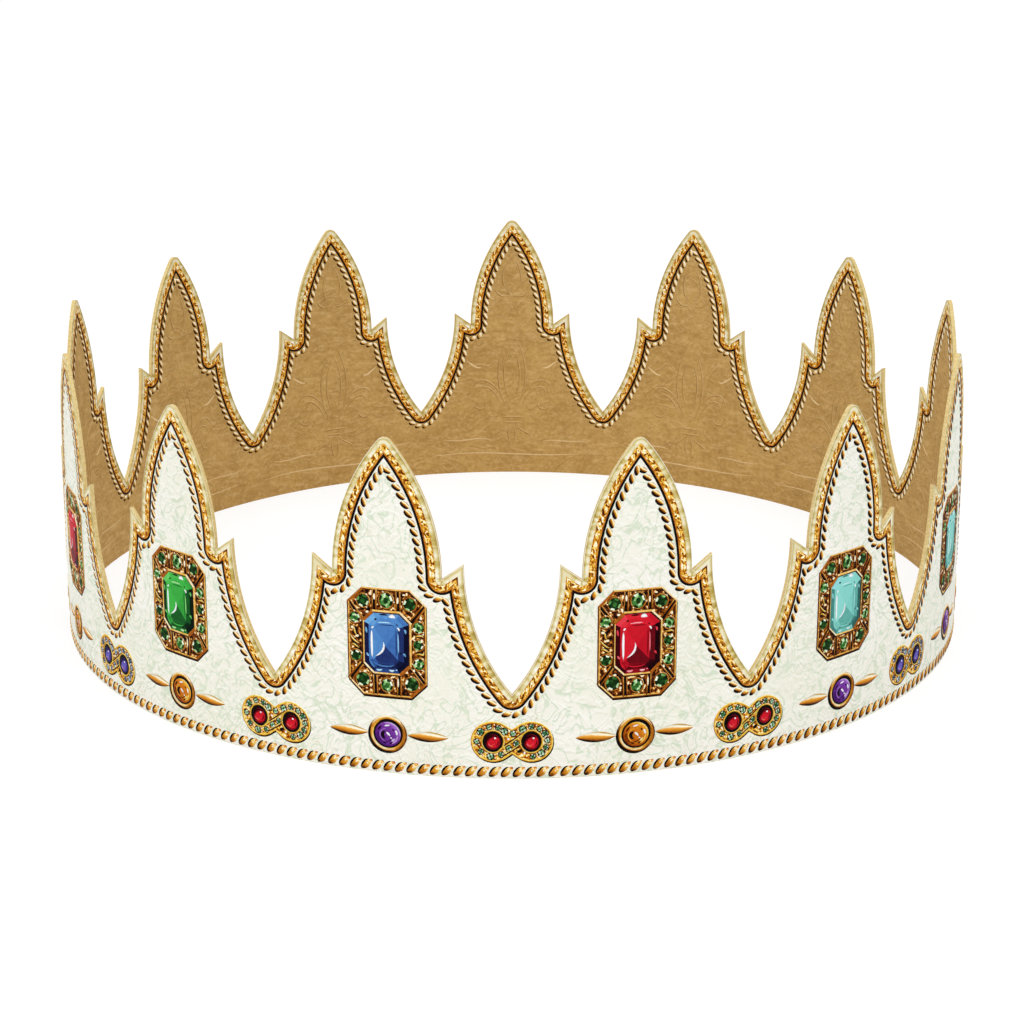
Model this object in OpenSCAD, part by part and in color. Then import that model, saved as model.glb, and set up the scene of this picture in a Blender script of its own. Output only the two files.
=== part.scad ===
// Paper crown: one strip of stiff card, cut to a row of points and closed into a ring
// by a tab glued behind its other end.
// The ring stands on its lower edge, +Z up, with its axis on Z and its front towards -Y.
// All sizes are in millimetres. Heights are measured from the lower edge, and widths
// along the strip as it lies flat.

/* [Strip] */
// Number of points round the ring
point_count = 13; // [9:1:17]
// Length of strip that each point takes up
point_pitch = 46; // [40:1:54]
// Thickness of the card
card_t = 0.8; // [0.4:0.1:1.2]

/* [Gaps between points] */
// Height of the pointed foot of each gap
gap_foot_z = 16.5; // [10:0.5:24]
// Width of each gap at its mouth, from prong tip to prong tip
gap_w = 17.4; // [13:0.2:22]

/* [Points] */
// Height of the small sharp prongs beside the blade of a point
prong_z = 41.5; // [40:0.5:50]
// Height of the notch between a prong and the blade
notch_z = 38.6; // [30:0.2:40]
// Width of the tall blade of a point, from notch to notch
blade_w = 20.6; // [16:0.2:25]
// Rise of the blade from its notches to where its curved sides would meet
blade_rise = 27; // [18:0.5:40]
// Radius of the rounded tip of the blade
tip_r = 1.6; // [0.6:0.1:3]

/* [Closing join] */
// Gap that the join lies under, counted clockwise from the back
join_gap = 9; // [0:1:12]
// Length of the tab glued behind the strip's other end
tab_l = 12; // [8:1:16]
// Length over which the strip steps in to become the tab
tab_root_l = 2; // [1:0.5:4]
// Distance of the tab from the strip's lower edge and from the foot of the gap
tab_inset = 1.5; // [0.5:0.1:3]
// Size of the cut corners at the tab's free end
tab_corner = 3; // [1:0.5:4]
// Width of the fine line where the strip's end shows on the outside
join_line_w = 0.3; // [0.2:0.1:0.6]
// Depth of that line
join_line_d = 0.5; // [0.2:0.1:0.7]

/* [Hidden] */

// The strip keeps its length at the middle of the card's thickness when it is bent
mid_r = point_count * point_pitch / (2 * PI);
outer_r = mid_r + card_t / 2;
inner_r = mid_r - card_t / 2;
step_a = 360 / point_count;

// Widths on the flat strip, as seen square on to the middle of a point
blade_x = across(blade_w / 2);
prong_x = across((point_pitch - gap_w) / 2);
foot_x = across(point_pitch / 2);

// The blade's sides and the gap's sides are arcs that leave their wide end upright
blade_side_r = arch_side_r(blade_x, blade_rise);
gap_side_r = arch_side_r(foot_x - prong_x, prong_z - gap_foot_z);

// The tip is an arc that touches both sides of the blade from within
blade_side_x = blade_side_r - blade_x;
tip_z = notch_z + sqrt((blade_side_r - tip_r) ^ 2 - blade_side_x ^ 2);
tip_touch_z = tip_z + tip_r * (tip_z - notch_z) / (blade_side_r - tip_r);
crown_h = tip_z + tip_r;

// Room that cutting shapes reach past what they cut
spare = 1;
// Length by which each point's foot runs into the next one
foot_overlap = 2;
// Faces to a full circle in the preview
fine = 360;

// Sideways distance of a place on the bent strip, from its length along the flat strip
function across(length) = outer_r * sin(length * 180 / (PI * mid_r));

// Radius of one side of a pointed arch of a given half width and rise
function arch_side_r(half_w, rise) = (half_w ^ 2 + rise ^ 2) / (2 * half_w);

// Tall pointed blade of a point, seen flat, from its notches up
module blade_outline() {
    intersection() {
        translate([-blade_side_x, notch_z]) circle(r = blade_side_r, $fn = fine);
        translate([blade_side_x, notch_z]) circle(r = blade_side_r, $fn = fine);
        translate([-blade_x, notch_z - spare]) square([2 * blade_x, tip_touch_z - notch_z + spare]);
    }
    translate([0, tip_z]) circle(r = tip_r, $fn = fine / 4);
}

// Foot of a point, seen flat: the strip's band, the sweep up from each gap and the two prongs
module foot_outline() {
    reach_x = foot_x + foot_overlap;
    difference() {
        polygon([
            [-reach_x, 0], [reach_x, 0], [reach_x, prong_z], [prong_x, prong_z], [blade_x, notch_z],
            [-blade_x, notch_z], [-prong_x, prong_z], [-reach_x, prong_z],
        ]);
        for (side = [-1, 1])
            translate([side * (prong_x + gap_side_r), prong_z]) circle(r = gap_side_r, $fn = fine);
    }
}

// A flat outline, upright and square on to the strip at a given angle clockwise from the back
module cut_through(angle) {
    depth = outer_r * (1 - cos(step_a)) + card_t + 2 * spare;
    rotate([0, 0, -angle]) translate([0, outer_r + spare, 0]) rotate([90, 0, 0])
        linear_extrude(depth) children();
}

// Plain round wall between two radii
module round_wall(from_r, to_r) {
    difference() {
        cylinder(r = to_r, h = crown_h + spare, $fn = fine);
        translate([0, 0, -spare]) cylinder(r = from_r, h = crown_h + 3 * spare, $fn = fine);
    }
}

// Tab that carries on from one end of the strip behind the other, with its free corners cut
module join_tab() {
    low = tab_inset;
    high = gap_foot_z - tab_inset;
    intersection() {
        round_wall(inner_r - card_t, mid_r);
        cut_through((join_gap + 0.5) * step_a) polygon([
            [-tab_root_l, low], [tab_l - tab_corner, low], [tab_l, low + tab_corner],
            [tab_l, high - tab_corner], [tab_l - tab_corner, high], [-tab_root_l, high],
        ]);
    }
}

// Fine line down the outside where the strip's end lies on the tab
module join_line() {
    rotate([0, 0, -(join_gap + 0.5) * step_a])
        translate([-join_line_w / 2, outer_r - join_line_d, -spare])
            cube([join_line_w, join_line_d + spare, gap_foot_z + 2 * spare]);
}

// The whole strip, bent round and closed
module crown_band() {
    color("cornsilk") difference() {
        union() {
            intersection() {
                round_wall(inner_r, outer_r);
                for (k = [0 : point_count - 1])
                    cut_through(k * step_a) {
                        blade_outline();
                        foot_outline();
                    }
            }
            join_tab();
        }
        join_line();
    }
}

crown_band();
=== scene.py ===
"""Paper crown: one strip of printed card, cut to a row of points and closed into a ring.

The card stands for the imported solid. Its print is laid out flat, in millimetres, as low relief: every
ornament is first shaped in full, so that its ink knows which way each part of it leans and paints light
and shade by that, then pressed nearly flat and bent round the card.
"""

import logging
import math
from collections.abc import Sequence
from dataclasses import dataclass
from enum import Enum
from functools import lru_cache

import bmesh
import bpy
from mathutils import Matrix, Vector
from mathutils.geometry import interpolate_bezier


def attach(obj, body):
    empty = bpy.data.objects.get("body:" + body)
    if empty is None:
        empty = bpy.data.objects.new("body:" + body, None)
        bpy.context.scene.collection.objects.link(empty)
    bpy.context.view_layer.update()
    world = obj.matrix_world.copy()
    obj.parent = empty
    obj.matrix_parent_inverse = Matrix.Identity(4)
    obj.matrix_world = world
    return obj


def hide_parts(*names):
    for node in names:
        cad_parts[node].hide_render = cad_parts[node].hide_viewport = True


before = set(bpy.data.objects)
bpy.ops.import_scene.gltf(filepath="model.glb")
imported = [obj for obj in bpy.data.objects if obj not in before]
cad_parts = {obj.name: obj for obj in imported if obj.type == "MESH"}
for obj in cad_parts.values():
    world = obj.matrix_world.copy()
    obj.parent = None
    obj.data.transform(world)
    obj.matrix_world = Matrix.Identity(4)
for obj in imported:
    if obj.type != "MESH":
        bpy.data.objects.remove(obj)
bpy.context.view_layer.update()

LOG = logging.getLogger("paper_crown")

# Metres in a millimetre
MM = 0.001
# UV map of the way that each part of an ornament leans
LEAN = "lean"
# UV map of the border's print: how far along it a spot is, and how far from the cut edge
TRIM = "trim"
# Where the light of the painted shading comes from, to the right and up
PAINTED_LIGHT = Vector((0.70, 0.71))
# Tone of faces whose shading is left to their shape. Painted tones run from -1 to 1
NO_TONE = 9.0
# Height at which plates start, under the face of the card
SUNK = -0.3
# Height at which beads start
BEAD_BASE = -0.02
# Sides and rings of the smallest beads
SMALL = (8, 2)
# Distance on the flat sheet under which two points count as one
CLOSE = 1e-4
# The same on the bent card, in metres
SAME = 1e-6
# Least width and least rise at the ends of a tapered bar, as shares
END_WIDTH = 1e-3
END_RISE = 0.02
# Facets in each row of a small stone
STONE_SIDES = 8
# Painted light and shade that the facets of a row take turns at
STONE_TONES = (0.64, -0.7, 0.0, -0.92, 0.3, -0.6, 0.86, -0.8)
# Width and rise of each row of facets for the stone's radius, and strength and order of its tones
STONE_STEPS = ((0.3, 0.25, 1.0, 3), (0.3, 0.15, 0.75, 2))
# Painted shade that the tables of neighbouring small stones take turns at
TABLE_TONES = (-0.1, -0.52, -0.52)

Rgb = tuple[float, float, float]
Stops = tuple[tuple[float, Rgb], ...]
Spot = tuple[float, float]
Curve = tuple[Spot, ...]
Path = list[Vector]


def linear(colour: Rgb) -> tuple[float, float, float, float]:
    """Turns a colour of a print shop's chart into what the nodes work in.

    Args:
        colour: Red, green and blue from 0 to 255.

    Returns:
        The same colour with linear parts from 0 to 1, and full cover.
    """
    parts = [part / 255 for part in colour]
    return tuple(p / 12.92 if p <= 0.04045 else ((p + 0.055) / 1.055) ** 2.4 for p in parts) + (1.0,)


class Value:
    """An output in a tree of nodes. Arithmetic on it adds Math nodes."""

    def __init__(self, nodes: "Nodes", socket: bpy.types.NodeSocket) -> None:
        """Keeps the socket and the nodes that it belongs to."""
        self.nodes = nodes
        self.socket = socket

    def _math(self, operation: str, *terms: "Value | float") -> "Value":
        """Adds one Math node over the given terms."""
        return self.nodes.add("ShaderNodeMath", {"operation": operation}, dict(enumerate(terms)))

    def __add__(self, other: "Value | float") -> "Value":
        """Sum."""
        return self._math("ADD", self, other)

    def __radd__(self, other: float) -> "Value":
        """Sum with a number first."""
        return self._math("ADD", other, self)

    def __sub__(self, other: "Value | float") -> "Value":
        """Difference."""
        return self._math("SUBTRACT", self, other)

    def __rsub__(self, other: float) -> "Value":
        """Difference with a number first."""
        return self._math("SUBTRACT", other, self)

    def __mul__(self, other: "Value | float") -> "Value":
        """Product."""
        return self._math("MULTIPLY", self, other)

    def __rmul__(self, other: float) -> "Value":
        """Product with a number first."""
        return self._math("MULTIPLY", other, self)

    def __abs__(self) -> "Value":
        """Size without its sign."""
        return self._math("ABSOLUTE", self)

    def over(self, edge: float) -> "Value":
        """1 where the value is above the edge, else 0."""
        return self._math("GREATER_THAN", self, edge)

    def sine(self) -> "Value":
        """Sine of the value in radians."""
        return self._math("SINE", self)

    def largest(self, other: "Value | float") -> "Value":
        """The larger of two values."""
        return self._math("MAXIMUM", self, other)

    def fade(self, low: float, high: float) -> "Value":
        """Smooth step, which falls where high is the smaller.

        Args:
            low: Where it is 0.
            high: Where it is 1.

        Returns:
            The step.
        """
        rises = low < high
        inputs = {
            "Value": self,
            "From Min": min(low, high),
            "From Max": max(low, high),
            "To Min": 0.0 if rises else 1.0,
            "To Max": 1.0 if rises else 0.0,
        }
        return self.nodes.add("ShaderNodeMapRange", {"interpolation_type": "SMOOTHSTEP"}, inputs)


class Nodes:
    """A tree of nodes that more are added to."""

    def __init__(self, tree: bpy.types.NodeTree) -> None:
        """Keeps the tree."""
        self.tree = tree

    def feed(self, socket: bpy.types.NodeSocket, term: "Value | float | tuple") -> None:
        """Links a value to a socket, or sets a number or colour on it.

        Args:
            socket: The socket.
            term: The value, number or colour.
        """
        if isinstance(term, Value):
            self.tree.links.new(term.socket, socket)
        else:
            socket.default_value = term

    def add(self, kind: str, settings: dict, inputs: dict, output: int | str = 0) -> Value:
        """Adds any node.

        Args:
            kind: The node's type.
            settings: Its own settings, which are set first. Stops are those of a ramp.
            inputs: Values, numbers or colours by socket name or number.
            output: The output wanted.

        Returns:
            That output.
        """
        node = self.tree.nodes.new(kind)
        for name, setting in settings.items():
            if name == "stops":
                ramp = node.color_ramp
                while len(ramp.elements) < len(setting):
                    ramp.elements.new(1.0)
                for element, (place, colour) in zip(ramp.elements, setting):
                    element.position = place
                    element.color = linear(colour)
            else:
                setattr(node, name, setting)
        for key, term in inputs.items():
            self.feed(node.inputs[key], term)
        return Value(self, node.outputs[output])


class Shader(Nodes):
    """A material and the nodes that are added to it."""

    def __init__(self, name: str) -> None:
        """Starts a material of the given name with its own surface node."""
        self.material = bpy.data.materials.new(name)
        self.material.use_nodes = True
        super().__init__(self.material.node_tree)
        self.surface = self.tree.nodes["Principled BSDF"]

    def place(self) -> Value:
        """Where a spot of the surface is, in the crown's own frame."""
        return self.add("ShaderNodeTexCoord", {}, {}, "Object")

    def higher(self, lift: float) -> Value:
        """The place that lies the given millimetres above a spot."""
        inputs = {0: self.place(), 1: (0.0, 0.0, lift * MM)}
        return self.add("ShaderNodeVectorMath", {"operation": "ADD"}, inputs)

    def drawn(self, across: float, up: float) -> Value:
        """The place of a spot, scaled so that marks read there are drawn out sideways or upright."""
        inputs = {0: self.place(), 1: (across, across, up)}
        return self.add("ShaderNodeVectorMath", {"operation": "MULTIPLY"}, inputs)

    def map_parts(self, name: str) -> tuple[Value, Value]:
        """Reads a UV map.

        Args:
            name: The map's name.

        Returns:
            Its two parts.
        """
        parts = self.add("ShaderNodeUVMap", {"uv_map": name}, {})
        split = self.add("ShaderNodeSeparateXYZ", {}, {0: parts}, "X")
        return split, Value(self, split.socket.node.outputs["Y"])

    def noise(
        self, size: float, detail: float = 2.0, twist: float = 0.0, vector: Value | None = None
    ) -> Value:
        """Cloudy noise from 0 to 1.

        Args:
            size: Width of its blotches in millimetres.
            detail: How much finer noise lies on top.
            twist: How far the blotches are swirled.
            vector: Where it is read, or nothing for the crown's own frame.

        Returns:
            The noise.
        """
        inputs = {"Vector": vector or self.place(), "Scale": 1 / (size * MM), "Detail": detail}
        return self.add("ShaderNodeTexNoise", {}, inputs | {"Distortion": twist})

    def creases(self, size: float, twist: float, width: float, vector: Value | None = None) -> Value:
        """Thin winding lines, 1 on the line and 0 away from it.

        Args:
            size: Width of the fields between the lines, in millimetres.
            twist: How far they wind.
            width: Half the lines' width, as a share of the noise's range.
            vector: Where they are read, or nothing for the crown's own frame.

        Returns:
            The lines.
        """
        return abs(self.noise(size, 1.0, twist, vector) - 0.5).fade(width, width * 0.15)

    def pressed(self, size: float, twist: float, width: float, lift: float) -> Value:
        """Winding lines as pressed into card: above 0 on their lit side and below 0 on the other."""
        return self.creases(size, twist, width) - self.creases(size, twist, width, self.higher(lift))

    def ramp(self, factor: Value, stops: Stops) -> Value:
        """Colour along a row of stops."""
        return self.add("ShaderNodeValToRGB", {"stops": stops}, {0: factor})

    def mix(self, factor: Value | float, under: "Value | Rgb", top: "Value | Rgb") -> Value:
        """Lays one colour over another.

        Args:
            factor: How far the top colour covers.
            under: The colour below, as a value or as red, green and blue.
            top: The colour above, likewise.

        Returns:
            The mixed colour.
        """
        pair = [term if isinstance(term, Value) else linear(term) for term in (under, top)]
        return self.add("ShaderNodeMix", {"data_type": "RGBA"}, {0: factor, 6: pair[0], 7: pair[1]}, 2)

    def bump(self, height: Value, depth: float) -> Value:
        """Small unevenness of a surface, as deep as the given millimetres."""
        inputs = {"Strength": 1.0, "Distance": depth * MM, "Height": height}
        return self.add("ShaderNodeBump", {}, inputs, "Normal")

    def dress(self, **terms: "Value | float | tuple") -> bpy.types.Material:
        """Feeds the surface node.

        Args:
            **terms: Values, numbers or colours by socket name, with _ for a space.

        Returns:
            The material.
        """
        for name, term in terms.items():
            self.feed(self.surface.inputs[name.replace("_", " ")], term)
        return self.material


@dataclass(frozen=True)
class ReliefInk:
    """Ink of a painted ornament, whose colour follows how far each part faces the painted light.

    Stops run from -1, turned away, to 1, turned towards it.
    """

    name: str
    stops: Stops
    grain: float = 0.12
    grain_size: float = 0.8
    roughness: float = 0.45
    gloss: float = 0.03

    def make(self) -> bpy.types.Material:
        """Makes the material: a ramp of colours over the lean, broken up by a fine grain.

        Returns:
            The material.
        """
        shader = Shader(self.name)
        right, up = shader.map_parts(LEAN)
        facing = (right - 0.5) * (2 * PAINTED_LIGHT.x) + (up - 0.5) * (2 * PAINTED_LIGHT.y)
        spots = shader.noise(self.grain_size, 3.0)
        shade = (facing + (spots - 0.5) * (4 * self.grain)) * 0.5 + 0.5
        colour = shader.ramp(shade, tuple((place / 2 + 0.5, ink) for place, ink in self.stops))
        tooth = shader.noise(0.22, 2.0)
        return shader.dress(
            Base_Color=colour,
            Roughness=spots * 0.18 + (self.roughness - 0.09),
            Specular_IOR_Level=self.gloss,
            Normal=shader.bump(tooth, 0.012),
        )


@dataclass(frozen=True)
class BorderInk:
    """Print of the border that follows the cut edge, by distance from the edge in millimetres.

    Rim, pale, braid and strip are where the dark rim, the pale band, the braid and the orange strip end.
    """

    name: str
    rim: float = 0.72
    pale: float = 1.08
    braid: float = 2.20
    strip: float = 2.42
    twist_length: float = 1.75
    gloss: float = 0.03

    def make(self) -> bpy.types.Material:
        """Makes the material: a pale band, a braid on brown, an orange strip and a black line.

        Returns:
            The material.
        """
        shader = Shader(self.name)
        along, depth = shader.map_parts(TRIM)
        flow = shader.add("ShaderNodeCombineXYZ", {}, {0: along * MM, 1: depth * (0.45 * MM)})
        clouds = shader.noise(1.5, 2.0, 0.6, flow)
        pale = shader.ramp(
            clouds,
            (
                (0.30, (174, 148, 66)),
                (0.41, (208, 190, 120)),
                (0.51, (226, 215, 168)),
                (0.61, (240, 234, 206)),
                (0.72, (250, 248, 236)),
            ),
        )
        edge = shader.mix(clouds.fade(0.35, 0.65), (168, 140, 58), (212, 192, 114))
        pale = shader.mix(depth.fade(self.rim, self.rim * 0.3) * 0.85, pale, edge)
        wobble = shader.noise(1.1, 2.0)
        across = (depth - (self.pale + self.braid) / 2) * (2 / (self.braid - self.pale))
        turned = {0: (along + depth * 0.7) * MM, 1: depth * (1.3 * MM)}
        slanted = shader.add("ShaderNodeCombineXYZ", {}, turned)
        twist = (along * (math.tau / self.twist_length) + across * 1.6 + wobble * 3.0).sine()
        chased = shader.noise(0.6, 2.0, 0.9, slanted) * 1.3 - 0.15 + twist * 0.07
        braid = shader.ramp(
            chased,
            (
                (0.29, (62, 18, 8)),
                (0.37, (134, 64, 12)),
                (0.45, (200, 124, 28)),
                (0.53, (236, 180, 50)),
                (0.60, (252, 222, 98)),
                (0.68, (255, 253, 230)),
            ),
        )
        braid = shader.mix(abs(across).fade(0.7, 1.05) * 0.7, braid, (190, 112, 28))
        strip = shader.ramp(
            shader.noise(0.9), ((0.3, (150, 74, 16)), (0.5, (196, 116, 30)), (0.7, (232, 166, 62)))
        )
        colour = shader.mix(depth.over(self.pale), pale, braid)
        colour = shader.mix(depth.over(self.braid), colour, strip)
        colour = shader.mix(depth.over(self.strip), colour, shader.mix(wobble, (8, 5, 5), (26, 17, 14)))
        relief = chased * depth.fade(self.pale - 0.1, self.pale + 0.1)
        relief = relief * depth.fade(self.braid + 0.1, self.braid)
        return shader.dress(
            Base_Color=colour,
            Roughness=clouds * 0.2 + 0.40,
            Specular_IOR_Level=self.gloss,
            Normal=shader.bump(relief + shader.noise(0.22) * 0.2, 0.02),
        )


@dataclass(frozen=True)
class CardFront:
    """Cream outside of the card, with pale green scrolling veins and pressed creases in painted light and
    shade.
    """

    name: str
    cream: Rgb = (240, 239, 224)
    vein: Rgb = (206, 220, 194)
    gloss: float = 0.3

    def make(self) -> bpy.types.Material:
        """Makes the material: cream with veins, threads, flecks, and creases with a lit and a dark side.

        Returns:
            The material.
        """
        shader = Shader(self.name)
        cloud = shader.noise(14.0, 2.0)
        fleck = shader.noise(0.6, 3.0)
        creases = shader.pressed(5.6, 2.4, 0.07, 0.4) + shader.pressed(2.8, 1.8, 0.05, 0.25) * 0.5
        veins = shader.creases(6.2, 2.4, 0.06) * cloud.fade(0.24, 0.42)
        threads = shader.creases(4.4, 2.6, 0.022) * shader.noise(8.0).fade(0.42, 0.58)
        colour = shader.mix(cloud.fade(0.35, 0.7), self.cream, (245, 243, 234))
        colour = shader.mix(veins * 0.8, colour, self.vein)
        colour = shader.mix(threads * 0.55, colour, (212, 208, 180))
        # Painted highlight along the lit side of each crease, and painted shade along the other
        colour = shader.mix(creases.fade(0.0, 1.0) * 0.5, colour, (255, 255, 250))
        colour = shader.mix(creases.fade(0.0, -1.0) * 0.28, colour, (208, 211, 192))
        colour = shader.mix(fleck.fade(0.56, 0.72) * 0.4, colour, (226, 222, 204))
        return shader.dress(
            Base_Color=colour,
            Roughness=fleck * 0.2 + 0.45,
            Specular_IOR_Level=self.gloss,
            Normal=shader.bump(fleck * 0.5 + creases * 0.3, 0.015),
        )


@dataclass(frozen=True)
class CardBack:
    """Brown inside of the card, with soft blotches, fibres and pressed creases in painted light and shade.
    """

    name: str
    brown: Rgb = (194, 156, 90)
    dark: Rgb = (180, 142, 78)
    light: Rgb = (210, 174, 116)
    gloss: float = 0.25

    def make(self) -> bpy.types.Material:
        """Makes the material: brown with blotches, grain, streaks and hairs, and creases painted lit and
        shaded as outside.

        Returns:
            The material.
        """
        shader = Shader(self.name)
        blotch = shader.noise(7.0, 4.0, 0.4)
        grain = shader.noise(0.8, 3.0)
        streaks = shader.noise(1.1, 3.0, 0.3, shader.drawn(0.35, 1.0))
        creases = shader.pressed(8.0, 1.8, 0.04, 0.4) + shader.pressed(4.2, 1.8, 0.04, 0.3) * 0.5
        hairs = shader.creases(5.0, 3.0, 0.010) * shader.noise(9.0).fade(0.52, 0.66)
        colour = shader.mix(blotch.fade(0.32, 0.68), self.dark, self.brown)
        colour = shader.mix(grain.fade(0.48, 0.72) * 0.5, colour, self.light)
        colour = shader.mix(grain.fade(0.46, 0.26) * 0.45, colour, (154, 114, 58))
        colour = shader.mix(streaks.fade(0.52, 0.72) * 0.5, colour, (214, 180, 122))
        colour = shader.mix(streaks.fade(0.46, 0.28) * 0.45, colour, (158, 120, 62))
        # Painted highlight along the lit side of each crease, and painted shade along the other
        colour = shader.mix(creases.fade(0.0, 1.0) * 0.25, colour, (216, 184, 130))
        colour = shader.mix(creases.fade(0.0, -1.0) * 0.25, colour, (146, 108, 56))
        colour = shader.mix(hairs * 0.5, colour, (226, 200, 152))
        return shader.dress(
            Base_Color=colour,
            Roughness=blotch * 0.15 + 0.62,
            Specular_IOR_Level=self.gloss,
            Normal=shader.bump(grain * 0.5 + creases * 0.4, 0.02),
        )


@dataclass(frozen=True)
class CutEdge:
    """Cut edge of the card, where its layers show as fine lines."""

    name: str
    gloss: float = 0.25

    def make(self) -> bpy.types.Material:
        """Makes the material: layers of straw colour, darker here and there.

        Returns:
            The material.
        """
        shader = Shader(self.name)
        layers = shader.noise(0.35, 3.0)
        soot = shader.noise(4.0, 2.0)
        colour = shader.ramp(
            layers, ((0.3, (208, 180, 114)), (0.5, (222, 198, 136)), (0.7, (236, 216, 164)))
        )
        colour = shader.mix(soot.fade(0.5, 0.75) * 0.25, colour, (196, 162, 94))
        return shader.dress(
            Base_Color=colour,
            Roughness=layers * 0.2 + 0.6,
            Specular_IOR_Level=self.gloss,
            Normal=shader.bump(layers, 0.015),
        )


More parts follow.
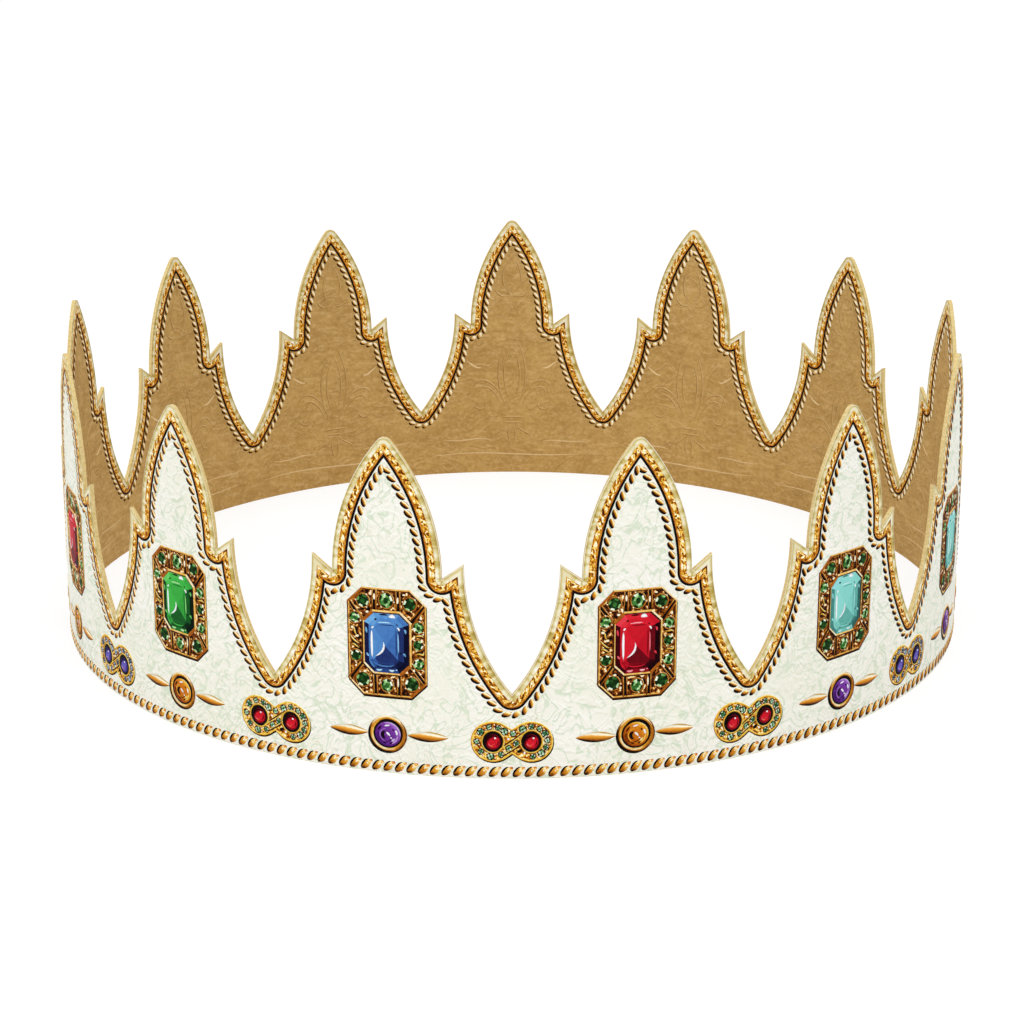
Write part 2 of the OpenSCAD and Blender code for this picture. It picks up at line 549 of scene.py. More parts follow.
class Ink(Enum):
    """Every finish on the crown."""

    FRONT = CardFront("card_front")
    BACK = CardBack("card_back")
    EDGE = CutEdge("card_cut_edge")
    BORDER = BorderInk("border_print")
    GOLD = ReliefInk(
        "bead_gold",
        (
            (-1.0, (14, 7, 4)), (-0.60, (20, 9, 5)), (-0.44, (108, 54, 10)),
            (-0.18, (182, 110, 28)), (0.04, (216, 150, 48)), (0.24, (244, 200, 98)),
            (0.40, (255, 244, 200)), (0.62, (255, 250, 224)), (0.80, (230, 160, 58)),
            (1.0, (128, 66, 14)),
        ),
    )
    FRAME = ReliefInk(
        "frame_gold",
        (
            (-1.0, (26, 9, 4)), (-0.6, (70, 30, 6)), (-0.25, (124, 60, 12)),
            (0.05, (170, 95, 25)), (0.3, (204, 130, 42)), (0.6, (236, 188, 92)),
            (1.0, (255, 248, 218)),
        ),
        grain=0.2,
    )
    BROOCH = ReliefInk(
        "brooch_gold",
        (
            (-1.0, (92, 42, 8)), (-0.6, (166, 94, 16)), (-0.2, (216, 154, 38)),
            (0.15, (238, 196, 76)), (0.45, (248, 226, 124)), (0.8, (255, 248, 208)),
        ),
        grain=0.3,
    )
    ROPE = ReliefInk(
        "rope_gold",
        (
            (-1.0, (14, 7, 4)), (-0.62, (22, 10, 5)), (-0.44, (122, 64, 12)),
            (-0.16, (194, 122, 32)), (0.04, (222, 156, 52)), (0.2, (244, 204, 104)),
            (0.34, (255, 244, 204)), (0.5, (246, 206, 112)), (0.66, (222, 124, 40)),
            (1.0, (140, 66, 16)),
        ),
        grain=0.2,
    )
    LEAF = ReliefInk(
        "leaf_gold",
        (
            (-1.0, (12, 6, 4)), (-0.50, (18, 8, 4)), (-0.42, (146, 76, 14)),
            (-0.10, (210, 132, 36)), (0.20, (236, 170, 66)), (0.32, (255, 244, 208)),
            (0.56, (255, 252, 236)), (0.65, (232, 190, 96)), (1.0, (196, 140, 56)),
        ),
        grain=0.05,
    )
    GROUND = ReliefInk(
        "chased_ground",
        (
            (-0.5, (16, 5, 3)), (-0.16, (64, 25, 7)), (0.1, (126, 62, 14)),
            (0.32, (192, 114, 31)), (0.5, (248, 206, 108)), (0.66, (255, 250, 226)),
        ),
        grain=1.0,
        grain_size=0.7,
    )
    BROOCH_GROUND = ReliefInk(
        "brooch_ground",
        (
            (-0.55, (96, 30, 8)), (-0.25, (184, 92, 18)), (0.02, (222, 160, 38)),
            (0.3, (246, 214, 92)), (0.58, (255, 250, 214)),
        ),
        grain=1.0,
        grain_size=0.55,
    )
    SHADOW = ReliefInk("shadow_ink", ((-1.0, (5, 3, 4)), (0.0, (14, 8, 8)), (1.0, (40, 26, 18))))
    GLINT = ReliefInk(
        "white_glint", ((-1.0, (214, 230, 244)), (-0.2, (248, 250, 255)), (1.0, (255, 255, 255)))
    )
    SPOT = ReliefInk("orange_red_spot", ((-1.0, (160, 50, 8)), (0.0, (214, 92, 22)), (1.0, (238, 136, 56))))
    PEARL = ReliefInk(
        "pearl_gold",
        (
            (-1.0, (56, 26, 8)), (-0.62, (98, 54, 14)), (-0.36, (186, 130, 56)),
            (-0.05, (232, 194, 120)), (0.22, (254, 240, 198)), (0.75, (255, 252, 238)),
            (1.0, (222, 186, 116)),
        ),
    )
    # Raised lines, painted lit on one side and shaded on the other
    SCROLL = ReliefInk("scroll_lit_and_shaded", ((-1.0, (136, 98, 48)), (0.0, (193, 154, 92)), (1.0, (238, 210, 158))))
    SMALL_GREEN = ReliefInk(
        "small_green_stone",
        (
            (-1.0, (6, 16, 6)), (-0.5, (22, 52, 18)), (-0.1, (46, 98, 40)),
            (0.25, (80, 138, 64)), (0.55, (152, 202, 126)), (0.85, (240, 250, 224)),
        ),
        grain=0.3,
    )
    PALE_GREEN = ReliefInk(
        "pale_green_stone",
        (
            (-1.0, (10, 34, 18)), (-0.5, (40, 86, 50)), (-0.1, (84, 136, 92)),
            (0.25, (140, 182, 140)), (0.6, (206, 230, 200)), (0.9, (250, 255, 244)),
        ),
        grain=0.3,
    )
    SMALL_GREY = ReliefInk(
        "small_grey_stone",
        (
            (-1.0, (16, 22, 30)), (-0.5, (52, 66, 84)), (-0.1, (98, 118, 140)),
            (0.25, (146, 168, 186)), (0.55, (198, 214, 224)), (0.85, (246, 250, 252)),
        ),
        grain=0.3,
    )
    RED = ReliefInk(
        "red_gem",
        (
            (-1.0, (22, 0, 4)), (-0.8, (60, 2, 10)), (-0.55, (116, 8, 22)),
            (-0.2, (176, 14, 32)), (0.1, (212, 28, 44)), (0.35, (230, 72, 84)),
            (0.65, (248, 150, 160)), (1.0, (255, 240, 240)),
        ),
        grain=0.06,
    )
    GREEN = ReliefInk(
        "green_gem",
        (
            (-1.0, (2, 18, 8)), (-0.8, (8, 48, 20)), (-0.55, (26, 98, 38)),
            (-0.2, (46, 146, 54)), (0.1, (64, 180, 72)), (0.35, (116, 208, 108)),
            (0.65, (176, 232, 150)), (1.0, (246, 255, 236)),
        ),
        grain=0.06,
    )
    BLUE = ReliefInk(
        "blue_gem",
        (
            (-1.0, (8, 10, 36)), (-0.8, (20, 26, 68)), (-0.55, (36, 56, 114)),
            (-0.2, (52, 94, 164)), (0.1, (82, 136, 198)), (0.35, (124, 184, 230)),
            (0.65, (172, 222, 248)), (1.0, (244, 252, 255)),
        ),
        grain=0.06,
    )
    AQUA = ReliefInk(
        "aqua_gem",
        (
            (-1.0, (40, 92, 88)), (-0.8, (72, 142, 134)), (-0.55, (104, 182, 172)),
            (-0.2, (122, 202, 192)), (0.1, (142, 216, 208)), (0.35, (148, 218, 224)),
            (0.65, (196, 238, 240)), (1.0, (248, 255, 255)),
        ),
        grain=0.06,
    )
    PURPLE = ReliefInk(
        "purple_stone",
        (
            (-1.0, (14, 0, 26)), (-0.8, (34, 8, 58)), (-0.5, (70, 22, 106)),
            (-0.15, (96, 40, 132)), (0.15, (120, 58, 158)), (0.4, (166, 112, 204)),
            (0.7, (214, 184, 236)), (1.0, (255, 250, 255)),
        ),
        grain=0.12,
    )
    VIOLET = ReliefInk(
        "violet_stone",
        (
            (-1.0, (14, 10, 44)), (-0.5, (56, 44, 122)), (-0.1, (92, 78, 172)),
            (0.2, (116, 104, 200)), (0.45, (168, 164, 228)), (0.9, (244, 246, 255)),
        ),
        grain=0.12,
    )
    AMBER = ReliefInk(
        "amber_stone",
        (
            (-1.0, (30, 8, 0)), (-0.8, (70, 22, 2)), (-0.5, (128, 54, 8)),
            (-0.15, (178, 90, 14)), (0.15, (210, 126, 26)), (0.4, (238, 174, 56)),
            (0.7, (252, 218, 110)), (1.0, (255, 250, 224)),
        ),
        grain=0.16,
    )


@lru_cache(maxsize=None)
def material_of(ink: Ink) -> bpy.types.Material:
    """The material of a finish, made once."""
    return ink.value.make()


class Side(Enum):
    """The two faces of the card."""

    OUTSIDE = 1
    INSIDE = -1


@dataclass(frozen=True)
class Strip:
    """The card strip, bent to a ring. Sizes are in millimetres."""

    count: int = 13
    pitch: float = 46.0
    card: float = 0.8
    press: float = 0.22

    @property
    def mid_r(self) -> float:
        """Radius at the middle of the card's thickness, where the strip keeps its length."""
        return self.count * self.pitch / math.tau

    @property
    def step(self) -> float:
        """Angle of one point, in radians."""
        return math.tau / self.count

    def spot(self, x: float, y: float, out: float) -> Vector:
        """Where a spot of the flat strip comes to lie.

        Args:
            x: Distance to the right along the strip, seen from outside.
            y: Height over the lower edge.
            out: Distance outwards from the middle of the card's thickness.

        Returns:
            The place in metres, for a strip whose x is 0 at the front.
        """
        angle, radius = x / self.mid_r, self.mid_r + out
        return Vector((radius * math.sin(angle), -radius * math.cos(angle), y)) * MM

    def face_spot(self, flat: Vector, side: Side) -> Vector:
        """Where a spot of the print comes to lie, pressed nearly flat on one face of the card."""
        out = self.card / 2 + flat.z * self.press
        return self.spot(flat.x * side.value, flat.y, out * side.value)


STRIP = Strip()


def circle(centre: Spot, radius: float, count: int, tall: float = 1.0) -> Path:
    """Points round a circle or an upright oval, counter-clockwise."""
    (x, y), turns = centre, [math.tau * i / count for i in range(count)]
    return [Vector((x + radius * math.cos(t), y + radius * tall * math.sin(t), 0)) for t in turns]


def octagon(centre: Spot, width: float, height: float, cut: float) -> Path:
    """Points of a rectangle with cut corners, counter-clockwise.

    Args:
        centre: Its middle.
        width: Its width.
        height: Its height.
        cut: How far each corner is cut along both sides.

    Returns:
        Its eight points.
    """
    x, y = width / 2, height / 2
    right = ((x - cut, -y), (x, cut - y), (x, y - cut), (x - cut, y))
    corners = (*right, *((-a, -b) for a, b in right))
    return [Vector((centre[0] + a, centre[1] + b, 0)) for a, b in corners]


def bent(points: Sequence[Spot], count: int = 8) -> Path:
    """A smooth path from a start, two handles and an end."""
    return [Vector((p.x, p.y, 0)) for p in interpolate_bezier(*[Vector((*p, 0)) for p in points], count)]


def arc(centre: Spot, radius: float, start: float, end: float, count: int = 12) -> Path:
    """Points along a piece of a circle between two angles, in degrees."""
    (x, y), turns = centre, [math.radians(start + (end - start) * i / count) for i in range(count + 1)]
    return [Vector((x + radius * math.cos(t), y + radius * math.sin(t), 0)) for t in turns]


def spaced(path: Path, count: int) -> list[tuple[Vector, float]]:
    """Even places along a path, half a step from its ends.

    Args:
        path: The path's points.
        count: How many places.

    Returns:
        Each place, and the path's direction there in radians.
    """
    lengths = [(b - a).length for a, b in zip(path, path[1:])]
    total, places, walked, leg = sum(lengths), [], 0.0, 0
    for i in range(count):
        aim = total * (i + 0.5) / count
        while walked + lengths[leg] < aim:
            walked += lengths[leg]
            leg += 1
        a, b = path[leg], path[leg + 1]
        places.append((a.lerp(b, (aim - walked) / lengths[leg]), math.atan2(b.y - a.y, b.x - a.x)))
    return places


@dataclass(frozen=True)
class Mark:
    """Painted line from a start over two handles to an end, in millimetres from its ornament's middle."""

    points: Curve
    width: float
    base: float
    ink: Ink
    tone: float = 0.0
    taper: float = 0.6

    def path(self, centre: Spot) -> Path:
        """Points of the line, for an ornament with the given middle."""
        return bent([(centre[0] + x, centre[1] + y) for x, y in self.points])


@dataclass(frozen=True)
class ArcMark:
    """Painted piece of a ring, between two angles in degrees. Other sizes are in millimetres."""

    radius: float
    start: float
    end: float
    width: float
    base: float
    ink: Ink
    tone: float = 0.0
    middle: Spot = (0.0, 0.0)
    taper: float = 0.6

    def path(self, centre: Spot) -> Path:
        """Points of the line, for an ornament with the given middle."""
        around = (centre[0] + self.middle[0], centre[1] + self.middle[1])
        return arc(around, self.radius, self.start, self.end)


@dataclass(frozen=True)
class Dot:
    """Painted spot, in millimetres from its ornament's middle. Size is half its length and width."""

    place: Spot
    size: Spot
    base: float
    rise: float
    ink: Ink
    turn: float = 0.0


@lru_cache(maxsize=None)
def dome_mesh(around: int, rings: int, pinch: float) -> bpy.types.Mesh:
    """A closed half ball of radius 1, whose ends along x are pinched.

    Args:
        around: Sides round it.
        rings: Rings from its rim to its top.
        pinch: How far its ends are drawn in, from 0 to 1.

    Returns:
        The mesh.
    """
    mesh = bmesh.new()
    bmesh.ops.create_uvsphere(mesh, u_segments=around, v_segments=2 * rings, radius=1.0)
    everything = mesh.verts[:] + mesh.edges[:] + mesh.faces[:]
    bmesh.ops.bisect_plane(
        mesh, geom=everything, dist=CLOSE, plane_co=(0, 0, 0), plane_no=(0, 0, 1), clear_inner=True
    )
    bmesh.ops.remove_doubles(mesh, verts=mesh.verts, dist=CLOSE)
    bmesh.ops.contextual_create(mesh, geom=[edge for edge in mesh.edges if edge.is_boundary])
    for vert in mesh.verts:
        vert.co.y *= 1 - pinch * vert.co.x**2
    for face in mesh.faces:
        face.smooth = True
    data = bpy.data.meshes.new("dome")
    mesh.to_mesh(data)
    mesh.free()
    return data


class Relief:
    """Ornament laid out flat, in millimetres: x to the right, y up and z off the card, in full height."""

    def __init__(self) -> None:
        """Starts an empty sheet."""
        self.mesh = bmesh.new()
        self.inks: list[Ink] = []
        self.tone = self.mesh.faces.layers.float.new("tone")
        self.lean = self.mesh.loops.layers.uv.new(LEAN)

    def ink(
        self,
        faces: Sequence[bmesh.types.BMFace],
        ink: Ink,
        smooth: bool = False,
        tone: float | None = None,
    ) -> None:
        """Inks faces.

        Args:
            faces: The faces.
            ink: Their finish.
            smooth: Whether their shading runs on over their edges.
            tone: How far they seem to face the painted light, where that isn't left to their shape.
        """
        if ink not in self.inks:
            self.inks.append(ink)
        for face in faces:
            face.material_index = self.inks.index(ink)
            face.smooth = smooth
            face[self.tone] = NO_TONE if tone is None else tone

    def plate(self, outline: Path, base: float, thick: float, ink: Ink) -> bmesh.types.BMFace:
        """A flat plate.

        Args:
            outline: Its outline, counter-clockwise.
            base: Height of its underside.
            thick: Its thickness.
            ink: Its finish.

        Returns:
            Its top face.
        """
        verts = [self.mesh.verts.new((p.x, p.y, base)) for p in outline]
        made = bmesh.ops.extrude_face_region(self.mesh, geom=[self.mesh.faces.new(verts)])["geom"]
        raised = [part for part in made if isinstance(part, bmesh.types.BMVert)]
        bmesh.ops.translate(self.mesh, verts=raised, vec=(0, 0, thick))
        top = next(part for part in made if isinstance(part, bmesh.types.BMFace))
        self.ink({face for vert in verts + raised for face in vert.link_faces}, ink)
        top.normal_update()
        return top

    def step_in(self, top: bmesh.types.BMFace, width: float, rise: float) -> list[bmesh.types.BMFace]:
        """Insets a face and lifts it.

        Args:
            top: The face.
            width: How far it is inset.
            rise: How far it is lifted.

        Returns:
            The new faces round it.
        """
        return bmesh.ops.inset_region(
            self.mesh, faces=[top], thickness=width, depth=rise, use_even_offset=True, use_boundary=True
        )["faces"]

    def tray(
        self,
        outline: Path,
        base: float,
        thick: float,
        width: float,
        rise: float,
        inks: tuple[Ink, Ink],
        smooth: bool,
    ) -> None:
        """A plate with a raised rim.

        Args:
            outline: Its outline, counter-clockwise.
            base: Height of its underside.
            thick: Thickness of its floor.
            width: Width of its rim.
            rise: Height of the rim over the floor.
            inks: Finishes of the rim and of the floor.
            smooth: Whether the rim is round rather than roofed.
        """
        floor = self.plate(outline, base, thick, inks[0])
        for lift in (rise, -rise):
            self.ink(self.step_in(floor, width / 2, lift), inks[0], smooth)
        self.ink([floor], inks[1])

    def loft(
        self,
        rows: Sequence[Path],
        ink: Ink,
        closed: bool = False,
        trim: Sequence[Sequence[Spot]] | None = None,
        tone: float | None = None,
    ) -> None:
        """A sheet stretched over rows of points, closed underneath by the last row.

        Args:
            rows: Rows with as many points each. The last one repeats the first.
            ink: Its finish.
            closed: Whether each row comes back to its own start.
            trim: Place of each point on the border's print, if it has one.
            tone: How far it seems to face the painted light, where that isn't left to its shape.
        """
        long, wide = len(rows[0]) - 1, len(rows) - 1
        made = bmesh.ops.create_grid(self.mesh, x_segments=long, y_segments=wide, size=1.0)["verts"]
        spots = {v: (round((v.co.x + 1) / 2 * long), round((v.co.y + 1) / 2 * wide)) for v in made}
        faces = {face for vert in made for face in vert.link_faces}
        if trim:
            layer = self.mesh.loops.layers.uv.get(TRIM) or self.mesh.loops.layers.uv.new(TRIM)
            for face in faces:
                for loop in face.loops:
                    i, j = spots[loop.vert]
                    loop[layer].uv = trim[j][i]
        for vert, (i, j) in spots.items():
            vert.co = rows[j][i]
        self.ink(faces, ink, True, tone)
        bmesh.ops.remove_doubles(self.mesh, verts=made, dist=CLOSE)
        if not closed:
            ends = {edge for vert in made if vert.is_valid for edge in vert.link_edges if edge.is_boundary}
            bmesh.ops.holes_fill(self.mesh, edges=list(ends), sides=0)

    def stroke(
        self,
        path: Path,
        width: float,
        rise: float,
        ink: Ink,
        base: float = 0.0,
        taper: float = 0.0,
        tone: float | None = None,
    ) -> None:
        """A rounded bar along a path.

        Args:
            path: Its middle line. A path that ends where it starts makes a ring.
            width: Its width.
            rise: Its height over its base.
            ink: Its finish.
            base: Height of its underside.
            taper: Power of the curve by which its ends run out to points, or 0 for blunt ends.
            tone: How far it seems to face the painted light, where that isn't left to its shape.
        """
        last = len(path) - 1
        closed = (path[0] - path[last]).length < CLOSE
        left, ridge, right = [], [], []
        for i, point in enumerate(path):
            before = path[i - 1] if i else path[last - 1] if closed else point
            after = path[i + 1] if i < last else path[1] if closed else point
            along = (after - before).normalized()
            share = max(math.sin(math.pi * i / last), 0.0) ** taper
            side = Vector((-along.y, along.x, 0)) * (width / 2 * max(share, END_WIDTH))
            left.append(point + side + Vector((0, 0, base)))
            ridge.append(point + Vector((0, 0, base + rise * max(share, END_RISE))))
            right.append(point - side + Vector((0, 0, base)))
        self.loft([left, ridge, right, left], ink, closed or taper > 0, tone=tone)

    def paint(self, marks: Sequence[Mark | ArcMark], centre: Spot, rise: float = 0.2) -> None:
        """Lays painted lines over an ornament with the given middle."""
        for mark in marks:
            self.stroke(mark.path(centre), mark.width, rise, mark.ink, mark.base, mark.taper, mark.tone)

    def dome(
        self,
        centre: Vector | Spot,
        size: Spot,
        ink: Ink,
        turn: float = 0.0,
        rise: float | None = None,
        base: float = 0.0,
        pinch: float = 0.0,
        fine: tuple[int, int] = (10, 3),
        tone: float | None = None,
        slip: float = 0.0,
    ) -> None:
        """A round or long bead.

        Args:
            centre: Its place.
            size: Half its length and half its width.
            ink: Its finish.
            turn: Angle of its length, in radians.
            rise: Its height, or nothing for its half width.
            base: Height of its underside.
            pinch: How far its ends are drawn to points.
            fine: Sides round it and rings up it.
            tone: How far it seems to face the painted light, where that isn't left to its shape.
            slip: How far it is pushed to the right for its height on the strip.
        """
        before = set(self.mesh.verts)
        self.mesh.from_mesh(dome_mesh(*fine, pinch))
        made = [vert for vert in self.mesh.verts if vert not in before]
        move = (
            Matrix.Translation((centre[0], centre[1], base))
            @ Matrix(((1, slip, 0, 0), (0, 1, 0, 0), (0, 0, 1, 0), (0, 0, 0, 1)))
            @ Matrix.Rotation(turn, 4, "Z")
            @ Matrix.Diagonal((size[0], size[1], rise or size[1], 1.0))
        )
        bmesh.ops.transform(self.mesh, matrix=move, verts=made)
        self.ink({face for vert in made for face in vert.link_faces}, ink, True, tone)

    def dot(self, dots: Sequence[Dot], centre: Spot) -> None:
        """Lays painted spots over an ornament with the given middle.

        Args:
            dots: The spots.
            centre: The ornament's middle.
        """
        for dot in dots:
            place = (centre[0] + dot.place[0], centre[1] + dot.place[1])
            self.dome(place, dot.size, dot.ink, dot.turn, dot.rise, dot.base, fine=SMALL)

    def shade(self, centre: Vector, size: Spot, turn: float) -> None:
        """A flat dark oval under a bead.

        Args:
            centre: Its place.
            size: Half its length and half its width.
            turn: Angle of its length, in radians.
        """
        around = Matrix.Rotation(turn, 3, "Z")
        rim = [Vector((size[0] * p.x, size[1] * p.y, 0)) for p in circle((0, 0), 1.0, 12)]
        outline = [around @ p + centre.to_3d() for p in rim]
        self.plate(outline, base=-0.1, thick=0.2, ink=Ink.SHADOW)

    def stone(
        self, centre: Vector | Spot, radius: float, ink: Ink, base: float, tall: float, turn: int
    ) -> None:
        """A small round stone with a flat table and two rows of facets.

        Args:
            centre: Its place.
            radius: Half its width.
            ink: Its finish.
            base: Height of its underside.
            tall: Its height for its width.
            turn: Which facets are the bright ones.
        """
        top = self.plate(circle(centre, radius, STONE_SIDES, tall), base, thick=0.1, ink=ink)
        for ring, (width, rise, strength, stride) in enumerate(STONE_STEPS):
            for i, facet in enumerate(self.step_in(top, radius * width, radius * rise)):
                tone = STONE_TONES[(i * stride + turn + ring) % STONE_SIDES]
                self.ink([facet], ink, tone=tone * strength)
        self.ink([top], ink, tone=TABLE_TONES[turn % len(TABLE_TONES)])

    def slice_wide(self, width: float = 1.3, spare: float = 1.4) -> None:
        """Cuts wide faces upright, so that they can bend.

        Args:
            width: Distance from cut to cut.
            spare: How many times as wide as that a face has to be.
        """
        reach = max(abs(vert.co.x) for vert in self.mesh.verts)
        for i in range(-math.floor(reach / width), math.floor(reach / width) + 1):
            crossed = []
            for face in self.mesh.faces:
                across = [vert.co.x for vert in face.verts]
                low, high = min(across), max(across)
                if high - low > spare * width and low < i * width < high:
                    crossed.append(face)
            parts = {part for face in crossed for part in (*face.verts, *face.edges)}
            at = (i * width, 0, 0)
            bmesh.ops.bisect_plane(
                self.mesh, geom=[*parts, *crossed], dist=CLOSE, plane_co=at, plane_no=(1, 0, 0)
            )

    def bend(self, name: str, side: Side) -> bpy.types.Mesh:
        """Presses the relief nearly flat and bends it round the card, at the front of the crown.

        Args:
            name: The mesh's name.
            side: The face of the card that it is printed on.

        Returns:
            The mesh.
        """
        self.slice_wide()
        bmesh.ops.recalc_face_normals(self.mesh, faces=self.mesh.faces)
        self.mesh.normal_update()
        for face in self.mesh.faces:
            tone = face[self.tone]
            for loop in face.loops:
                lean = PAINTED_LIGHT * tone
                if tone > 1:
                    normal = loop.vert.normal if face.smooth else face.normal
                    lean = normal.xy.normalized() if normal.z < 0 and face.smooth else normal.xy
                loop[self.lean].uv = (0.5 + lean.x / 2, 0.5 + lean.y / 2)
        for vert in self.mesh.verts:
            vert.co = STRIP.face_spot(vert.co, side)
        data = bpy.data.meshes.new(name)
        self.mesh.to_mesh(data)
        self.mesh.free()
        return data


def piece(name: str, data: bpy.types.Mesh) -> bpy.types.Object:
    """Makes a finished piece of the crown.

    Args:
        name: Its name.
        data: Its mesh.

    Returns:
        The piece.
    """
    thing = bpy.data.objects.new(name, data)
    bpy.context.scene.collection.objects.link(thing)
    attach(thing, "root")
    LOG.info("%s: %d faces", name, len(data.polygons))
    return thing


@dataclass(frozen=True)
class PointOutline:
    """Cut outline of one point, from the foot of one gap to the next. Sizes are in millimetres.

    Steps are those along its short parts, round its notches, along its sides and round its tip. Halvings are
    how often the search for a corner is narrowed.
    """

    foot_z: float = 16.5
    gap_w: float = 17.4
    prong_z: float = 41.5
    notch_z: float = 38.6
    blade_w: float = 20.6
    blade_rise: float = 27.0
    tip_r: float = 1.6
    short_steps: int = 6
    notch_steps: int = 10
    side_steps: int = 26
    tip_steps: int = 8
    halvings: int = 40

    @property
    def foot(self) -> Vector:
        """Foot of the gap on the left."""
        return Vector((-STRIP.pitch / 2, self.foot_z, 0))

    @property
    def prong(self) -> Vector:
        """Tip of the prong on the left."""
        return Vector(((self.gap_w - STRIP.pitch) / 2, self.prong_z, 0))

    @property
    def notch(self) -> Vector:
        """Notch on the left of the blade."""
        return Vector((-self.blade_w / 2, self.notch_z, 0))

    @property
    def gap_side_r(self) -> float:
        """Radius of the gap's side."""
        wide = self.prong.x - self.foot.x
        return (wide**2 + (self.prong_z - self.foot_z) ** 2) / (2 * wide)

    @property
    def blade_side_r(self) -> float:
        """Radius of the blade's side."""
        return ((self.blade_w / 2) ** 2 + self.blade_rise**2) / self.blade_w

    def half(self, inset: float) -> Path:
        """Left half of the outline, from the foot of the gap to the tip, moved into the card.

        Args:
            inset: How far it is moved in.

        Returns:
            Its points, as many for every inset. Those past a corner gather in that corner.
        """
        gap_r, blade_r = self.gap_side_r, self.blade_side_r
        gap_centre = Vector((self.prong.x - gap_r, self.prong_z, 0))
        blade_centre = Vector((blade_r - self.blade_w / 2, self.notch_z, 0))
        rise = math.sqrt((blade_r - self.tip_r) ** 2 - blade_centre.x**2)
        tip_centre = Vector((0, self.notch_z + rise, 0))
        apex = Vector((0, self.notch_z + math.sqrt((blade_r - inset) ** 2 - blade_centre.x**2), 0))
        foot_turn = math.asin((self.foot_z - self.prong_z) / gap_r)
        tip_turn = math.pi - math.asin(rise / (blade_r - self.tip_r))
        edge = (self.notch - self.prong).normalized()
        down = Vector((edge.y, -edge.x, 0))
        down_turn = math.atan2(down.y, down.x)

        def ray(turn: float) -> Vector:
            """Direction at an angle."""
            return Vector((math.cos(turn), math.sin(turn), 0))

        def steps(start: float, end: float, count: int) -> list[float]:
            """Even steps from start to end."""
            return [start + (end - start) * i / count for i in range(count + 1)]

        def clear(turn: float) -> bool:
            """Tells whether a spot on the gap's side keeps clear of the edge from prong to notch.

            Args:
                turn: The spot's angle round the middle of the gap's side.

            Returns:
                Whether it does.
            """
            spot = gap_centre + ray(turn) * (gap_r + inset)
            reach = min(max((spot - self.prong).dot(edge), 0.0), (self.notch - self.prong).length)
            return (spot - self.prong - edge * reach).length >= inset

        low, high = foot_turn, 0.0
        for _ in range(self.halvings):
            middle = (low + high) / 2
            low, high = (middle, high) if clear(middle) else (low, middle)
        corner = gap_centre + ray(low) * (gap_r + inset)
        lower = [self.foot + ray(t) * inset for t in steps(-math.pi / 2, foot_turn, self.short_steps)]
        sweep = [t for t in steps(foot_turn, 0.0, self.side_steps) if t <= low]
        lower += [gap_centre + ray(t) * (gap_r + inset) for t in sweep]
        lower += [corner] * (self.short_steps + self.side_steps + 2 - len(lower))
        upper = [self.prong.lerp(self.notch, t) + down * inset for t in steps(0.0, 1.0, self.short_steps)]
        upper += [self.notch + ray(t) * inset for t in steps(down_turn, 0.0, self.notch_steps)]
        upper = [p if (p - gap_centre).length > gap_r + inset else corner for p in upper]
        sweep = steps(math.pi, tip_turn, self.side_steps)
        blade = [blade_centre + ray(t) * (blade_r - inset) for t in sweep]
        sweep = steps(tip_turn, math.pi / 2, self.tip_steps)
        tip = [tip_centre + ray(t) * (self.tip_r - inset) for t in sweep]
        blade += tip if inset < self.tip_r else [apex] * len(tip)
        return lower + upper + [p if p.x < CLOSE else apex for p in blade]

    def whole(self, inset: float) -> Path:
        """The outline from the left gap's foot over the tip to the right one's, moved into the card."""
        left = self.half(inset)
        return left + [Vector((-p.x, p.y, 0)) for p in reversed(left[:-1])]


OUTLINE = PointOutline()


